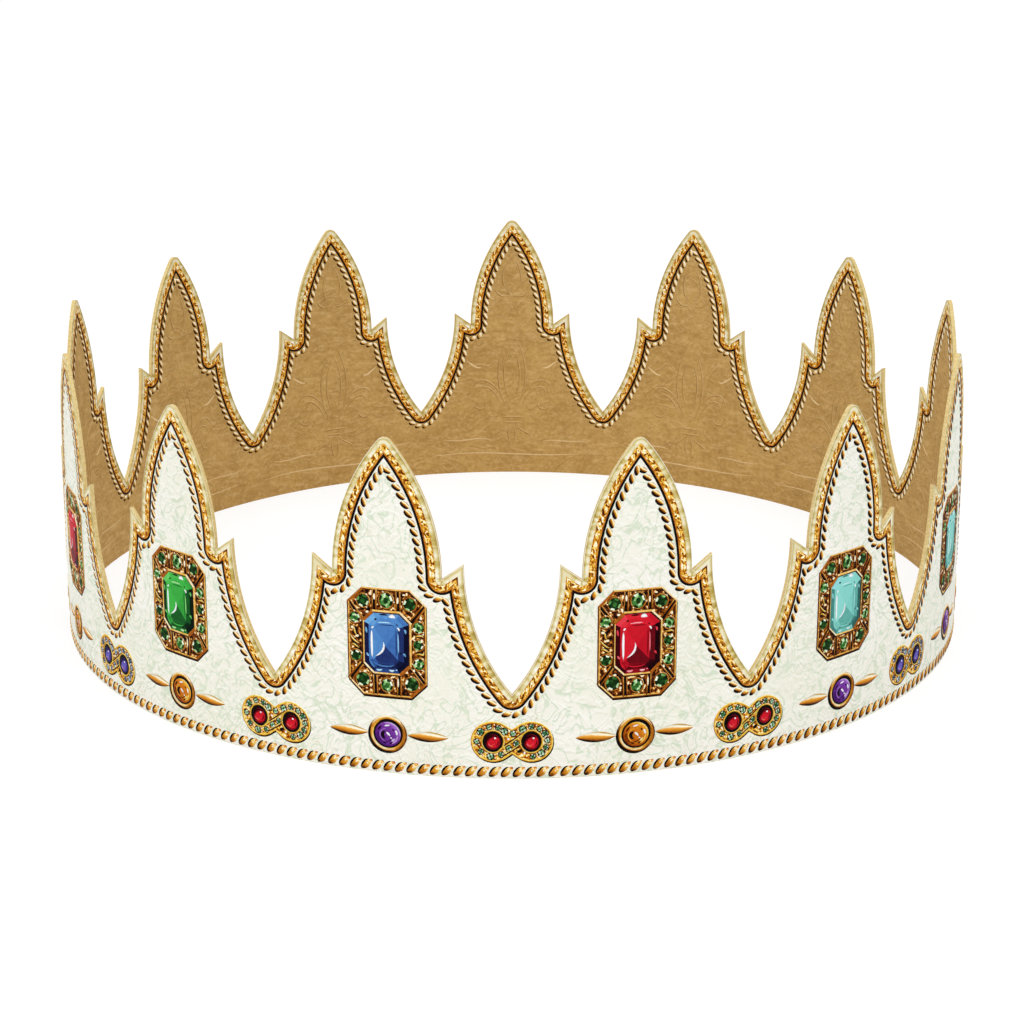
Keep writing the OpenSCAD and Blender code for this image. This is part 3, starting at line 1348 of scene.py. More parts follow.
@dataclass
class CrownCard:
    """The card itself: one bent strip with its glued tab. Sizes are in millimetres.

    The tab is sunk a little into the strip that it is glued to. Faces that look out or in by more than
    facing, as a cosine, are its outside and inside. Corners under the angle, in degrees, are smooth.
    """

    join_gap: int = -3
    join_line: float = 0.3
    tab_length: float = 12.0
    tab_root: float = 2.0
    tab_inset: float = 1.5
    tab_corner: float = 3.0
    tab_sink: float = 0.05
    slices: int = 40
    facing: float = 0.8
    angle: float = 40.0

    def flat(self, mesh: bmesh.types.BMesh, outline: Path, out: float) -> None:
        """Adds a flat cut-out, slices it upright so that it can bend, and bends it.

        Args:
            mesh: Where it is added.
            outline: Its outline.
            out: Distance outwards from the middle of the card.
        """
        sheet = bmesh.new()
        sheet.faces.new([sheet.verts.new(p) for p in outline])
        low, high = min(p.x for p in outline), max(p.x for p in outline)
        width = STRIP.pitch / self.slices
        for i in range(math.ceil(low / width), math.floor(high / width) + 1):
            parts = sheet.verts[:] + sheet.edges[:] + sheet.faces[:]
            bmesh.ops.bisect_plane(
                sheet, geom=parts, dist=CLOSE, plane_co=(i * width, 0, 0), plane_no=(1, 0, 0)
            )
        for vert in sheet.verts:
            vert.co = STRIP.spot(vert.co.x, vert.co.y, out)
        data = bpy.data.meshes.new("cut_out")
        sheet.to_mesh(data)
        sheet.free()
        mesh.from_mesh(data)

    def thicken(self, mesh: bmesh.types.BMesh, shrink: float) -> None:
        """Gives a bent sheet its thickness, by a copy drawn in to a smaller radius.

        Args:
            mesh: The sheet.
            shrink: The smaller radius for the larger one.
        """
        made = bmesh.ops.extrude_face_region(mesh, geom=mesh.faces[:])["geom"]
        inner = [part for part in made if isinstance(part, bmesh.types.BMVert)]
        bmesh.ops.scale(mesh, verts=inner, vec=(shrink, shrink, 1.0))
        bmesh.ops.recalc_face_normals(mesh, faces=mesh.faces)

    def ring(self) -> bpy.types.Mesh:
        """Builds the strip: one point, spun to a ring, with a slit where its ends meet.

        Returns:
            Its mesh.
        """
        mesh = bmesh.new()
        top = OUTLINE.whole(0.0)
        outline = [a for a, b in zip(top, top[1:] + top[:1]) if (a - b).length > CLOSE]
        half = STRIP.pitch / 2
        self.flat(mesh, outline + [Vector((half, 0, 0)), Vector((-half, 0, 0))], STRIP.card / 2)
        start = Matrix.Rotation((self.join_gap + 0.5) * STRIP.step, 3, "Z")
        bmesh.ops.rotate(mesh, verts=mesh.verts, cent=(0, 0, 0), matrix=start)
        slit = self.join_line / 2 / STRIP.mid_r
        join = self.join_gap * STRIP.step
        ends = [v for v in mesh.verts if abs(self.turn_of(v) - join) * STRIP.mid_r * MM < SAME]
        bmesh.ops.spin(
            mesh,
            geom=mesh.verts[:] + mesh.edges[:] + mesh.faces[:],
            cent=(0, 0, 0),
            axis=(0, 0, 1),
            angle=math.tau - STRIP.step,
            steps=STRIP.count - 1,
            use_duplicate=True,
        )
        same = [v for v in mesh.verts if (v.co - ends[0].co).to_2d().length < SAME]
        far = [v for v in same if v not in ends]
        bmesh.ops.rotate(mesh, verts=ends, cent=(0, 0, 0), matrix=Matrix.Rotation(slit, 3, "Z"))
        bmesh.ops.rotate(mesh, verts=far, cent=(0, 0, 0), matrix=Matrix.Rotation(-slit, 3, "Z"))
        bmesh.ops.remove_doubles(mesh, verts=mesh.verts, dist=SAME)
        self.thicken(mesh, (STRIP.mid_r - STRIP.card / 2) / (STRIP.mid_r + STRIP.card / 2))
        data = bpy.data.meshes.new("crown_card")
        mesh.to_mesh(data)
        mesh.free()
        return data

    @staticmethod
    def turn_of(vert: bmesh.types.BMVert) -> float:
        """Angle of a point from the front, to the right, in radians."""
        return math.atan2(vert.co.x, -vert.co.y)

    def build(self) -> None:
        """Builds the card with its tab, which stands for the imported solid."""
        mesh = bmesh.new()
        low, high = self.tab_inset, OUTLINE.foot_z - self.tab_inset
        cut, end = self.tab_corner, -self.tab_length
        corners = (
            (self.tab_root, low),
            (self.tab_root, high),
            (end + cut, high),
            (end, high - cut),
            (end, low + cut),
            (end + cut, low),
        )
        back = -STRIP.card / 2 + self.tab_sink
        self.flat(mesh, [Vector((x, y, 0)) for x, y in corners], back)
        self.thicken(mesh, (STRIP.mid_r - 1.5 * STRIP.card) / (STRIP.mid_r + back))
        turn = Matrix.Rotation(self.join_gap * STRIP.step, 3, "Z")
        bmesh.ops.rotate(mesh, verts=mesh.verts, cent=(0, 0, 0), matrix=turn)
        mesh.from_mesh(self.ring())
        self.dress(mesh)
        data = bpy.data.meshes.new("crown_card")
        mesh.to_mesh(data)
        mesh.free()
        for ink in (Ink.FRONT, Ink.BACK, Ink.EDGE):
            data.materials.append(material_of(ink))
        data.set_sharp_from_angle(angle=math.radians(self.angle))
        card = piece("crown_card", data)
        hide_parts("crown_band")

    def dress(self, mesh: bmesh.types.BMesh) -> None:
        """Gives each face its finish, by the way it looks: outwards, inwards or along the cut.

        Args:
            mesh: The card.
        """
        mesh.normal_update()
        for face in mesh.faces:
            outward = face.calc_center_median().xy.normalized().dot(face.normal.xy)
            face.material_index = 0 if outward > self.facing else 1 if outward < -self.facing else 2
            face.smooth = True


@dataclass
class Ornament:
    """Something printed at every point or gap of the crown, laid out once and repeated."""

    name: str = "ornament"
    side: Side = Side.OUTSIDE
    at_gap: bool = False

    def lay_out(self, relief: Relief) -> None:
        """Lays the ornament out flat."""
        raise NotImplementedError

    def swaps(self, index: int) -> dict[Ink, Ink]:
        """Finishes that change at one place round the crown."""
        return {}

    def build(self) -> None:
        """Builds the ornament's pieces, all round the crown."""
        relief = Relief()
        self.lay_out(relief)
        first = relief.bend(self.name, self.side)
        for i in range(STRIP.count):
            data = first.copy()
            data.transform(Matrix.Rotation((i if self.at_gap else i + 0.5) * STRIP.step, 4, "Z"))
            self.dress(data, relief.inks, i)
            piece(f"{self.name}_{i:02d}", data)
        bpy.data.meshes.remove(first)

    def dress(self, data: bpy.types.Mesh, inks: list[Ink], index: int) -> None:
        """Gives one piece its finishes.

        Args:
            data: The piece's mesh.
            inks: The finishes that its faces were inked with, in order.
            index: Its place round the crown.
        """
        changed = self.swaps(index)
        for ink in inks:
            data.materials.append(material_of(changed.get(ink, ink)))


@dataclass
class Border(Ornament):
    """Printed border along the cut edge of each point. Sizes are distances from the edge, in millimetres."""

    name: str = "border"
    start: float = 0.1
    end: float = 2.88
    film: float = 0.12

    def lay_out(self, relief: Relief) -> None:
        """Lays out the border's film, whose print knows how far along and how deep it is.

        Args:
            relief: Where it is laid out.
        """
        bands = Ink.BORDER.value
        middle = (bands.pale + bands.braid) / 2
        rows = [self.start, bands.pale / 2, bands.pale, middle, bands.braid, bands.strip, self.end]
        guide = OUTLINE.whole(middle)
        along = [0.0]
        for a, b in zip(guide, guide[1:]):
            along.append(along[-1] + (b - a).length)
        depths = [*rows, self.end, self.start, self.start]
        heights = [self.film] * len(rows) + [SUNK, SUNK, self.film]
        lines = [[p + Vector((0, 0, z)) for p in OUTLINE.whole(d)] for d, z in zip(depths, heights)]
        relief.loft(lines, Ink.BORDER, trim=[[(a, d) for a in along] for d in depths])


@dataclass
class BeadRow(Ornament):
    """Row of slanted beads inside the border of each point, with their shadows. Sizes are in millimetres."""

    name: str = "beads"
    ink: Ink = Ink.GOLD
    inset: float = 3.75
    spacing: float = 1.8
    length: float = 1.92
    width: float = 1.0
    slant: float = 30.0
    pinch: float = 0.35
    shade: Spot = (-0.16, -0.144)

    def lay_out(self, relief: Relief) -> None:
        """Lays out the beads along both halves of the outline.

        Args:
            relief: Where they are laid out.
        """
        left = OUTLINE.half(self.inset)
        left = [a for a, b in zip(left, left[1:]) if (a - b).length > CLOSE] + [left[-1]]
        right = [Vector((-p.x, p.y, 0)) for p in reversed(left)]
        count = round(sum((b - a).length for a, b in zip(left, left[1:])) / self.spacing)
        size = (self.length / 2, self.width / 2)
        for centre, turn in spaced(left, count) + spaced(right, count):
            turn += math.radians(self.slant)
            relief.shade(centre + Vector((*self.shade, 0)), size, turn)
            relief.dome(centre, size, self.ink, turn, base=BEAD_BASE, pinch=self.pinch)


@dataclass
class RopeEdge(Ornament):
    """Rope printed along the lower edge, a length of it under each point. Sizes are in millimetres."""

    name: str = "rope"
    count: int = 21
    middle: float = 1.36
    height: float = 2.14
    width: float = 1.34
    slip: float = 0.68
    square: float = 0.85
    shift: float = 0.2
    shade: Spot = (-0.36, -0.02)
    shade_scale: Spot = (1.12, 0.96)
    spot: Spot = (0.6, 0.6)
    spot_size: Spot = (0.3, 0.17)
    spot_turn: float = 0.4
    glint: Spot = (0.12, 0.22)
    glint_size: Spot = (0.28, 0.15)
    line_z: float = 0.12
    line_width: float = 0.2

    def lay_out(self, relief: Relief) -> None:
        """Lays out the rope's turns, their shadows, red spots and glints, and the line under them.

        Args:
            relief: Where they are laid out.
        """
        pitch, half = STRIP.pitch / self.count, round(STRIP.pitch / 2)
        upright, size = math.pi / 2, (self.height / 2, self.width / 2)
        dark = (size[0] * self.shade_scale[0], size[1] * self.shade_scale[1])
        turn, square = math.atan2(1.0, self.slip), -self.square
        for i in range(self.count):
            middle = Vector(((i + 0.5) * pitch - STRIP.pitch / 2 + self.shift, self.middle))
            relief.shade(middle + Vector(self.shade), dark, turn)
            relief.dome(middle, size, Ink.ROPE, upright, base=BEAD_BASE, pinch=square, slip=self.slip)
            spot = middle + Vector(self.spot)
            relief.dome(spot, self.spot_size, Ink.SPOT, self.spot_turn, base=0.26, rise=0.25, fine=SMALL)
            glint = middle + Vector(self.glint)
            relief.dome(glint, self.glint_size, Ink.GLINT, turn, base=0.46, rise=0.2, fine=SMALL)
        line = [Vector((x, self.line_z, 0)) for x in range(-half, half + 1, 2)]
        relief.stroke(line, self.line_width, rise=0.12, ink=Ink.BROOCH, base=-0.1)


@dataclass
class JewelFrame(Ornament):
    """Eight-sided gold frame set with small stones, one on each point. Sizes are in millimetres.

    Stones are places from the frame's middle, and radii. Sparks are painted highlights: places, half widths
    and half heights. Curls are scrolls at the sides. Drop is that of the frame's shadow. Ribs start at the
    bezel, and rib is how far one at an end runs, across and up. Seat, collar and claw reach past a stone's
    radius;
    the seat is a ring of painted shadow.
    """

    name: str = "jewel_frame"
    middle: float = 25.7
    width: float = 14.95
    height: float = 21.1
    cut: float = 2.9
    rim: float = 0.48
    bezel: tuple[float, float, float] = (9.4, 12.7, 2.05)
    bezel_rim: float = 0.64
    drop: Spot = (0.12, -0.3)
    rib_foot: float = 2.3
    rib: Spot = (-0.1, 4.1)
    rib_inset: float = 0.3
    rib_gap: float = 0.34
    rib_widths: Spot = (0.34, 0.26)
    side_tall: float = 1.04
    end_tall: float = 1.14
    seat: float = 0.34
    collar: float = 0.12
    claw: float = 0.18
    claws: int = 3
    claw_turn: float = 0.9
    claw_size: Spot = (0.2, 0.2)
    sides: int = 14
    stones: tuple[tuple[float, float, float], ...] = (
        (-4.4, 7.9, 1.2),
        (0.0, 8.3, 1.32),
        (4.4, 7.8, 1.18),
        (-6.0, 4.5, 1.05),
        (-5.9, -2.9, 1.02),
        (6.0, 3.4, 1.04),
        (5.95, 0.0, 0.94),
        (6.0, -3.7, 1.06),
        (-4.6, -7.5, 1.32),
        (0.0, -8.25, 1.12),
        (4.65, -7.7, 1.28),
    )
    sparks: tuple[tuple[float, float, float, float], ...] = (
        (-2.2, 8.9, 0.24, 0.66),
        (2.2, 8.4, 0.22, 0.7),
        (-6.5, 2.5, 0.34, 0.24),
        (-5.6, 0.9, 0.4, 0.22),
        (6.5, 5.3, 0.26, 0.32),
        (6.6, 0.9, 0.24, 0.38),
        (-3.1, -8.5, 0.24, 0.32),
        (2.1, -7.6, 0.18, 0.95),
        (-4.2, -5.9, 0.34, 0.24),
        (5.1, -5.0, 0.24, 0.32),
        (-3.6, 5.8, 0.34, 0.26),
        (-5.9, -4.9, 0.2, 0.28),
        (6.3, -5.6, 0.2, 0.22),
        (3.4, 9.6, 0.34, 0.18),
    )
    curls: tuple[Curve, ...] = (
        ((-7.0, 2.7), (-5.6, 3.1), (-6.6, 0.7), (-5.2, 1.1)),
        ((-7.1, 1.2), (-6.4, 0.2), (-6.0, -0.4), (-5.1, -0.5)),
        ((-6.9, -0.9), (-6.2, -0.4), (-5.9, -1.2), (-5.2, -1.4)),
        ((5.2, -1.9), (6.6, -1.2), (6.9, -2.6), (7.0, -1.0)),
        ((5.1, 1.9), (5.8, 1.4), (6.4, 2.4), (7.0, 1.5)),
    )

    def lay_out(self, relief: Relief) -> None:
        """Lays out the frame, its ribs, its bezel and its stones.

        Args:
            relief: Where they are laid out.
        """
        centre = (0.0, self.middle)
        outer, inks = octagon(centre, self.width, self.height, self.cut), (Ink.FRAME, Ink.GROUND)
        below = [p + Vector((*self.drop, 0)) for p in outer]
        relief.plate(below, SUNK, thick=0.36, ink=Ink.SHADOW)
        relief.tray(outer, SUNK, thick=0.5, width=self.rim, rise=0.24, inks=inks, smooth=False)
        bezel, inks = octagon(centre, *self.bezel), (Ink.FRAME, Ink.SHADOW)
        relief.tray(bezel, base=0.15, thick=0.3, width=self.bezel_rim, rise=0.55, inks=inks, smooth=False)
        for side in (-1, 1):
            for end in (-1, 1):
                self.ribs(relief, side, end)
        self.scrolls(relief)
        for i, (x, y, radius) in enumerate(self.stones):
            self.setting(relief, i, (x, self.middle + y), radius)
        # Sparks: painted highlights, small pale beads over the frame
        for x, y, wide, tall in self.sparks:
            spot = (x, self.middle + y)
            relief.dome(spot, (wide, tall), Ink.PEARL, base=0.2, rise=0.5, fine=SMALL, tone=0.4)

    def ribs(self, relief: Relief, side: int, end: int) -> None:
        """The ribs of one corner, to the frame's side and to its end: two gold lines over a stroke of
        painted shadow.

        Args:
            relief: Where they are laid out.
            side: 1 for the right and -1 for the left.
            end: 1 for the top and -1 for the bottom.
        """
        half_w, half_h, cut = self.bezel[0] / 2, self.bezel[1] / 2, self.bezel[2]
        inner = Vector((side * half_w, self.middle + end * (half_h - cut), 0))
        corner_z = self.middle + end * (self.height / 2 - self.cut)
        outer = Vector((side * (self.width / 2 - self.rib_inset), corner_z, 0))
        foot = Vector((side * self.rib_foot, self.middle + end * half_h, 0))
        head = foot + Vector((side * self.rib[0], end * self.rib[1], 0))
        for start, stop in ((inner, outer), (foot, head)):
            along = (stop - start).normalized()
            aside = Vector((along.y, -along.x, 0)) * self.rib_gap
            line = [start.lerp(stop, t / 3) for t in range(4)]
            # A stroke of painted shadow, which shows between and beside the two gold lines
            relief.stroke(line, width=0.6, rise=0.04, ink=Ink.SHADOW, base=0.2)
            for shift, width in zip((1, -1), self.rib_widths):
                relief.stroke([p + aside * shift for p in line], width, rise=0.3, ink=Ink.FRAME, base=0.19)

    def scrolls(self, relief: Relief) -> None:
        """Gold scrolls between the stones at the sides, each over a wider dark one that is its painted
        shadow.

        Args:
            relief: Where they are laid out.
        """
        for curl in self.curls:
            line = bent([(x, self.middle + up) for x, up in curl])
            # The scroll's painted shadow, wider than the scroll
            relief.stroke(line, width=0.8, rise=0.06, ink=Ink.SHADOW, base=0.19, taper=0.8)
            relief.stroke(line, width=0.42, rise=0.4, ink=Ink.BROOCH, base=0.2, taper=0.8)

    def setting(self, relief: Relief, index: int, centre: Spot, radius: float) -> None:
        """One small stone on a seat of painted shadow, with a gold ring and claws.

        Args:
            relief: Where it is laid out.
            index: The stone's number, which turns its facets.
            centre: Its place.
            radius: Half its width.
        """
        tall = self.side_tall if centre[0] else self.end_tall
        # The seat: a ring of painted shadow round the stone
        seat = circle(centre, radius + self.seat, self.sides, tall)
        relief.plate(seat, base=0.15, thick=0.07, ink=Ink.SHADOW)
        ring = circle(centre, radius + self.collar, self.sides, tall)
        relief.stroke(ring + ring[:1], width=0.34, rise=0.34, ink=Ink.FRAME, base=0.17)
        relief.stone(centre, radius, Ink.SMALL_GREEN, base=0.25, tall=tall, turn=index)
        # Pale claws, which also stand in for glints round the stone
        for i in range(self.claws):
            turn = math.tau * (i + 0.5) / self.claws + index * self.claw_turn
            out = Vector((math.cos(turn), tall * math.sin(turn))) * (radius + self.claw)
            spot = Vector(centre) + out
            relief.dome(spot, self.claw_size, Ink.PEARL, base=0.35, rise=0.3, fine=SMALL)


@dataclass
class Gem(Ornament):
    """Step-cut gem in the middle of each frame. Sizes are in millimetres.

    A step is its width and rise, the tones of its top, bottom, left and right facets, and those of its
    corners: high left, high right, low left and low right. A facet lies on a corner if its middle is further
    out than corner says. Culet is where the table's facets meet, from the gem's middle, and dip how deep.
    Spots are dark: places from the gem's middle, and half widths.
    """

    name: str = "gem"
    middle: float = 25.7
    width: float = 8.4
    height: float = 11.5
    cut: float = 1.85
    corner: Spot = (1.2, 2.8)
    slope: float = 1.4
    culet: Spot = (-0.15, -0.5)
    dip: float = 0.02
    spot_tall: float = 0.85
    colours: tuple[Ink, ...] = (
        Ink.RED, Ink.AQUA, Ink.AQUA, Ink.BLUE, Ink.RED, Ink.GREEN, Ink.AQUA,
        Ink.RED, Ink.BLUE, Ink.GREEN, Ink.RED, Ink.GREEN, Ink.BLUE,
    )
    steps: tuple[tuple[float, ...], ...] = (
        (0.90, 0.3, 0.14, -0.46, -0.84, -1.0, 0.26, -0.06, -0.86, -1.0),
        (0.75, 0.3, 0.06, -0.76, -0.06, -0.64, 0.16, 0.06, -0.34, -0.92),
        (0.35, 0.1, 0.1, -0.54, 0.1, -0.64, 0.1, 0.05, -0.2, -0.7),
    )
    table: tuple[float, ...] = (-0.02, -0.62, 0.08, -0.12, 0.04, 0.0, -0.16, -0.34)
    # Painted lights, glints and dark lines on the gem
    marks: tuple[Mark, ...] = (
        Mark(((-3.85, 2.95), (-3.75, 2.5), (-3.65, 2.1), (-3.6, 1.6)), 0.56, 0.76, Ink.RED, 0.28),
        Mark(((-3.75, -2.1), (-3.6, -2.4), (-3.4, -2.7), (-3.1, -2.9)), 0.52, 0.82, Ink.RED, 0.4),
        Mark(((3.3, 3.0), (3.5, 2.9), (3.6, 2.6), (3.65, 2.1)), 0.56, 0.82, Ink.RED, 0.32),
        Mark(((2.9, -2.0), (3.2, -1.7), (3.4, -1.8), (3.6, -2.4)), 0.56, 0.88, Ink.RED, 0.26),
        Mark(((-3.3, -3.3), (-3.0, -3.9), (-2.6, -4.5), (-2.2, -5.0)), 0.44, 0.92, Ink.RED, 0.08),
        Mark(((-2.7, -3.6), (-1.4, -4.7), (0.6, -4.7), (1.9, -3.9)), 0.36, 1.14, Ink.RED, 0.06),
        Mark(((-1.4, 5.5), (-0.7, 5.56), (-0.1, 5.56), (0.4, 5.5)), 0.36, 0.72, Ink.RED, -0.85),
        Mark(((-1.3, 3.58), (-0.4, 3.66), (0.8, 3.66), (1.7, 3.55)), 0.2, 1.32, Ink.RED, -0.7),
        Mark(((1.85, 3.2), (1.92, 1.5), (1.92, -1.0), (1.85, -2.6)), 0.22, 1.36, Ink.RED, -0.6),
        Mark(((-1.75, 3.95), (-0.8, 4.1), (0.2, 4.12), (1.05, 4.05)), 0.28, 1.24, Ink.RED, 0.72),
        Mark(((2.24, 2.4), (2.28, 1.0), (2.28, -0.8), (2.3, -1.8)), 0.3, 1.3, Ink.RED, 0.5),
        Mark(((-2.0, -5.15), (-1.6, -5.4), (-1.2, -5.35), (-0.8, -5.1)), 0.46, 0.84, Ink.RED, 0.66),
        Mark(((0.4, -5.1), (0.8, -5.35), (1.1, -5.35), (1.5, -5.1)), 0.46, 0.84, Ink.RED, 0.78),
        Mark(((1.65, -5.0), (1.8, -5.1), (1.9, -5.1), (2.05, -4.9)), 0.3, 0.86, Ink.RED, 0.6),
        Mark(((-2.68, 2.5), (-2.72, 1.0), (-2.72, -1.0), (-2.66, -3.0)), 0.54, 1.2, Ink.GLINT, taper=0.3),
        Mark(((-2.75, 2.7), (-2.6, 2.9), (-2.45, 3.05), (-2.2, 3.2)), 0.42, 1.22, Ink.GLINT),
        Mark(((1.95, 3.15), (2.2, 3.25), (2.4, 3.05), (2.5, 2.5)), 0.56, 1.22, Ink.GLINT),
        Mark(((-0.55, 0.35), (-0.1, -0.9), (-0.8, -2.0), (-2.1, -2.6)), 0.44, 1.36, Ink.GLINT, taper=0.7),
        Mark(((0.5, 5.1), (0.9, 5.4), (1.3, 5.4), (1.8, 5.0)), 0.85, 0.84, Ink.GLINT, taper=0.8),
    )
    spots: tuple[tuple[float, float, float], ...] = (
        (-1.95, 4.55, 0.27),
        (2.05, 3.75, 0.28),
        (2.7, -1.7, 0.26),
        (1.9, -2.95, 0.24),
        (1.2, -4.5, 0.22),
    )

    def swaps(self, index: int) -> dict[Ink, Ink]:
        """The gem's own colour."""
        return {Ink.RED: self.colours[index]}

    def lay_out(self, relief: Relief) -> None:
        """Lays out the gem's steps, its table and the lights and dark spots painted on it.

        Args:
            relief: Where they are laid out.
        """
        centre = (0.0, self.middle)
        outline = octagon(centre, self.width, self.height, self.cut)
        top = relief.plate(outline, base=0.3, thick=0.35, ink=Ink.RED)
        for width, rise, *tones in self.steps:
            self.tint(relief, relief.step_in(top, width, rise), tones)
        made = bmesh.ops.poke(relief.mesh, faces=[top], offset=-self.dip)
        bmesh.ops.translate(relief.mesh, verts=made["verts"], vec=(*self.culet, 0))
        self.tint(relief, made["faces"], self.table)
        relief.paint(self.marks, centre)
        for across, up, radius in self.spots:
            spot, size = (across, self.middle + up), (radius, radius * self.spot_tall)
            relief.dome(spot, size, Ink.SHADOW, base=0.9, rise=0.45, fine=SMALL)

    def tint(self, relief: Relief, facets: list[bmesh.types.BMFace], tones: Sequence[float]) -> None:
        """Gives each facet of a step the painted tone, from light to shade, of the side or corner that it
        lies on.

        Args:
            relief: Where they are laid out.
            facets: The facets.
            tones: Their tones, in the order that the class gives.
        """
        for facet in facets:
            spot = facet.calc_center_median() - Vector((0, self.middle, 0))
            high, right = spot.y > 0, spot.x > 0
            if abs(spot.x) > self.corner[0] and abs(spot.y) > self.corner[1]:
                place = 4 + right if high else 6 + right
            elif abs(spot.x) * self.slope > abs(spot.y):
                place = 2 + right
            else:
                place = 0 if high else 1
            relief.ink([facet], Ink.RED, tone=tones[place])


@dataclass
class Cabochon(Ornament):
    """Round stone in a gold ring between two gold leaves, under each frame. Sizes are in millimetres.

    Drop and halo are how far the ring's shadow is moved and how far it reaches past the ring.
    """

    name: str = "cabochon"
    middle: float = 7.8
    ring: float = 3.64
    ring_width: float = 0.82
    stone: float = 2.46
    drop: Spot = (-0.16, -0.2)
    halo: float = 0.06
    sides: int = 36
    stone_shift: Spot = (-0.04, -0.07)
    leaf: float = 7.7
    leaf_width: float = 2.1
    leaf_gap: float = 0.05
    leaf_shade: Spot = (0.3, -0.3)
    leaf_steps: int = 16
    colours: tuple[Ink, ...] = (
        Ink.AMBER, Ink.PURPLE, Ink.PURPLE, Ink.AMBER, Ink.PURPLE, Ink.AMBER, Ink.PURPLE,
        Ink.AMBER, Ink.PURPLE, Ink.AMBER, Ink.AMBER, Ink.AMBER, Ink.PURPLE,
    )
    # Painted highlights and shade on the gold ring
    ring_marks: tuple[ArcMark, ...] = (
        ArcMark(3.48, 150, 285, 0.38, 0.44, Ink.GOLD, -0.75),
        ArcMark(3.5, -90, 50, 0.32, 0.42, Ink.GOLD, -0.44),
        ArcMark(3.24, -70, 50, 0.34, 0.56, Ink.GOLD, -0.16),
        ArcMark(3.46, 60, 150, 0.24, 0.46, Ink.GOLD, 0.42),
        ArcMark(3.06, 185, 300, 0.22, 0.5, Ink.GOLD, 0.42),
        ArcMark(2.9, 10, 130, 0.24, 0.42, Ink.SHADOW),
    )
    # Painted lights, glints and dark arcs on the stone
    stone_marks: tuple[ArcMark | Mark, ...] = (
        ArcMark(1.85, 165, 235, 0.5, 0.5, Ink.PURPLE, -0.5),
        ArcMark(1.95, 122, 162, 0.36, 0.5, Ink.PURPLE, -0.8),
        ArcMark(1.9, -70, -5, 0.5, 0.5, Ink.PURPLE, 0.52),
        ArcMark(1.5, -62, -28, 0.42, 0.56, Ink.PURPLE, 0.72),
        ArcMark(1.8, 236, 262, 0.32, 0.52, Ink.PURPLE, -0.85),
        ArcMark(1.8, 280, 304, 0.32, 0.52, Ink.PURPLE, -0.85),
        ArcMark(1.45, 32, 52, 0.34, 0.56, Ink.PURPLE, -0.8),
        ArcMark(1.3, 255, 330, 0.2, 0.6, Ink.PURPLE, -0.75, (-0.2, -0.1)),
        ArcMark(1.28, 92, 262, 0.2, 0.6, Ink.PURPLE, 0.46, (-0.2, -0.1)),
        ArcMark(0.72, 100, 260, 0.62, 0.62, Ink.SHADOW, 0.0, (-0.25, -0.1)),
        Mark(((-0.65, 1.62), (-0.2, 1.76), (0.1, 1.8), (0.5, 1.9)), 0.34, 0.58, Ink.GLINT),
        Mark(((1.45, 0.95), (1.7, 0.7), (1.8, 0.3), (1.75, -0.1)), 0.44, 0.58, Ink.GLINT),
        Mark(((-0.3, 0.45), (0.0, 0.3), (0.25, 0.0), (0.5, -0.3)), 0.44, 0.66, Ink.GLINT),
        Mark(((0.5, -0.5), (0.6, -0.6), (0.7, -0.7), (0.85, -0.85)), 0.26, 0.66, Ink.GLINT),
    )

    def swaps(self, index: int) -> dict[Ink, Ink]:
        """The stone's own colour."""
        return {Ink.PURPLE: self.colours[index]}

    def lay_out(self, relief: Relief) -> None:
        """Lays out the ring, the stone and the leaves.

        Args:
            relief: Where they are laid out.
        """
        y = self.middle
        below = circle((self.drop[0], y + self.drop[1]), self.ring + self.halo, self.sides)
        relief.plate(below, SUNK, thick=0.34, ink=Ink.SHADOW)
        ring, inks = circle((0, y), self.ring, self.sides), (Ink.GOLD, Ink.SHADOW)
        relief.tray(ring, SUNK, thick=0.4, width=self.ring_width, rise=0.5, inks=inks, smooth=True)
        relief.paint(self.ring_marks, (0.0, y))
        centre = (self.stone_shift[0], y + self.stone_shift[1])
        relief.dome(centre, (self.stone, self.stone), Ink.PURPLE, rise=0.5, base=0.12, fine=(24, 6))
        relief.paint(self.stone_marks, centre)
        for side in (-1, 1):
            middle = side * (self.ring + self.leaf_gap + self.leaf / 2)
            shares = [i / self.leaf_steps - 0.5 for i in range(self.leaf_steps + 1)]
            path = [Vector((middle + self.leaf * share, y, 0)) for share in shares]
            shade = Vector((-side * self.leaf_shade[0], self.leaf_shade[1], 0))
            dark = [p + shade for p in path]
            relief.stroke(dark, self.leaf_width, rise=0.1, ink=Ink.SHADOW, base=-0.05, taper=0.85)
            relief.stroke(path, self.leaf_width, rise=0.8, ink=Ink.LEAF, taper=0.8)


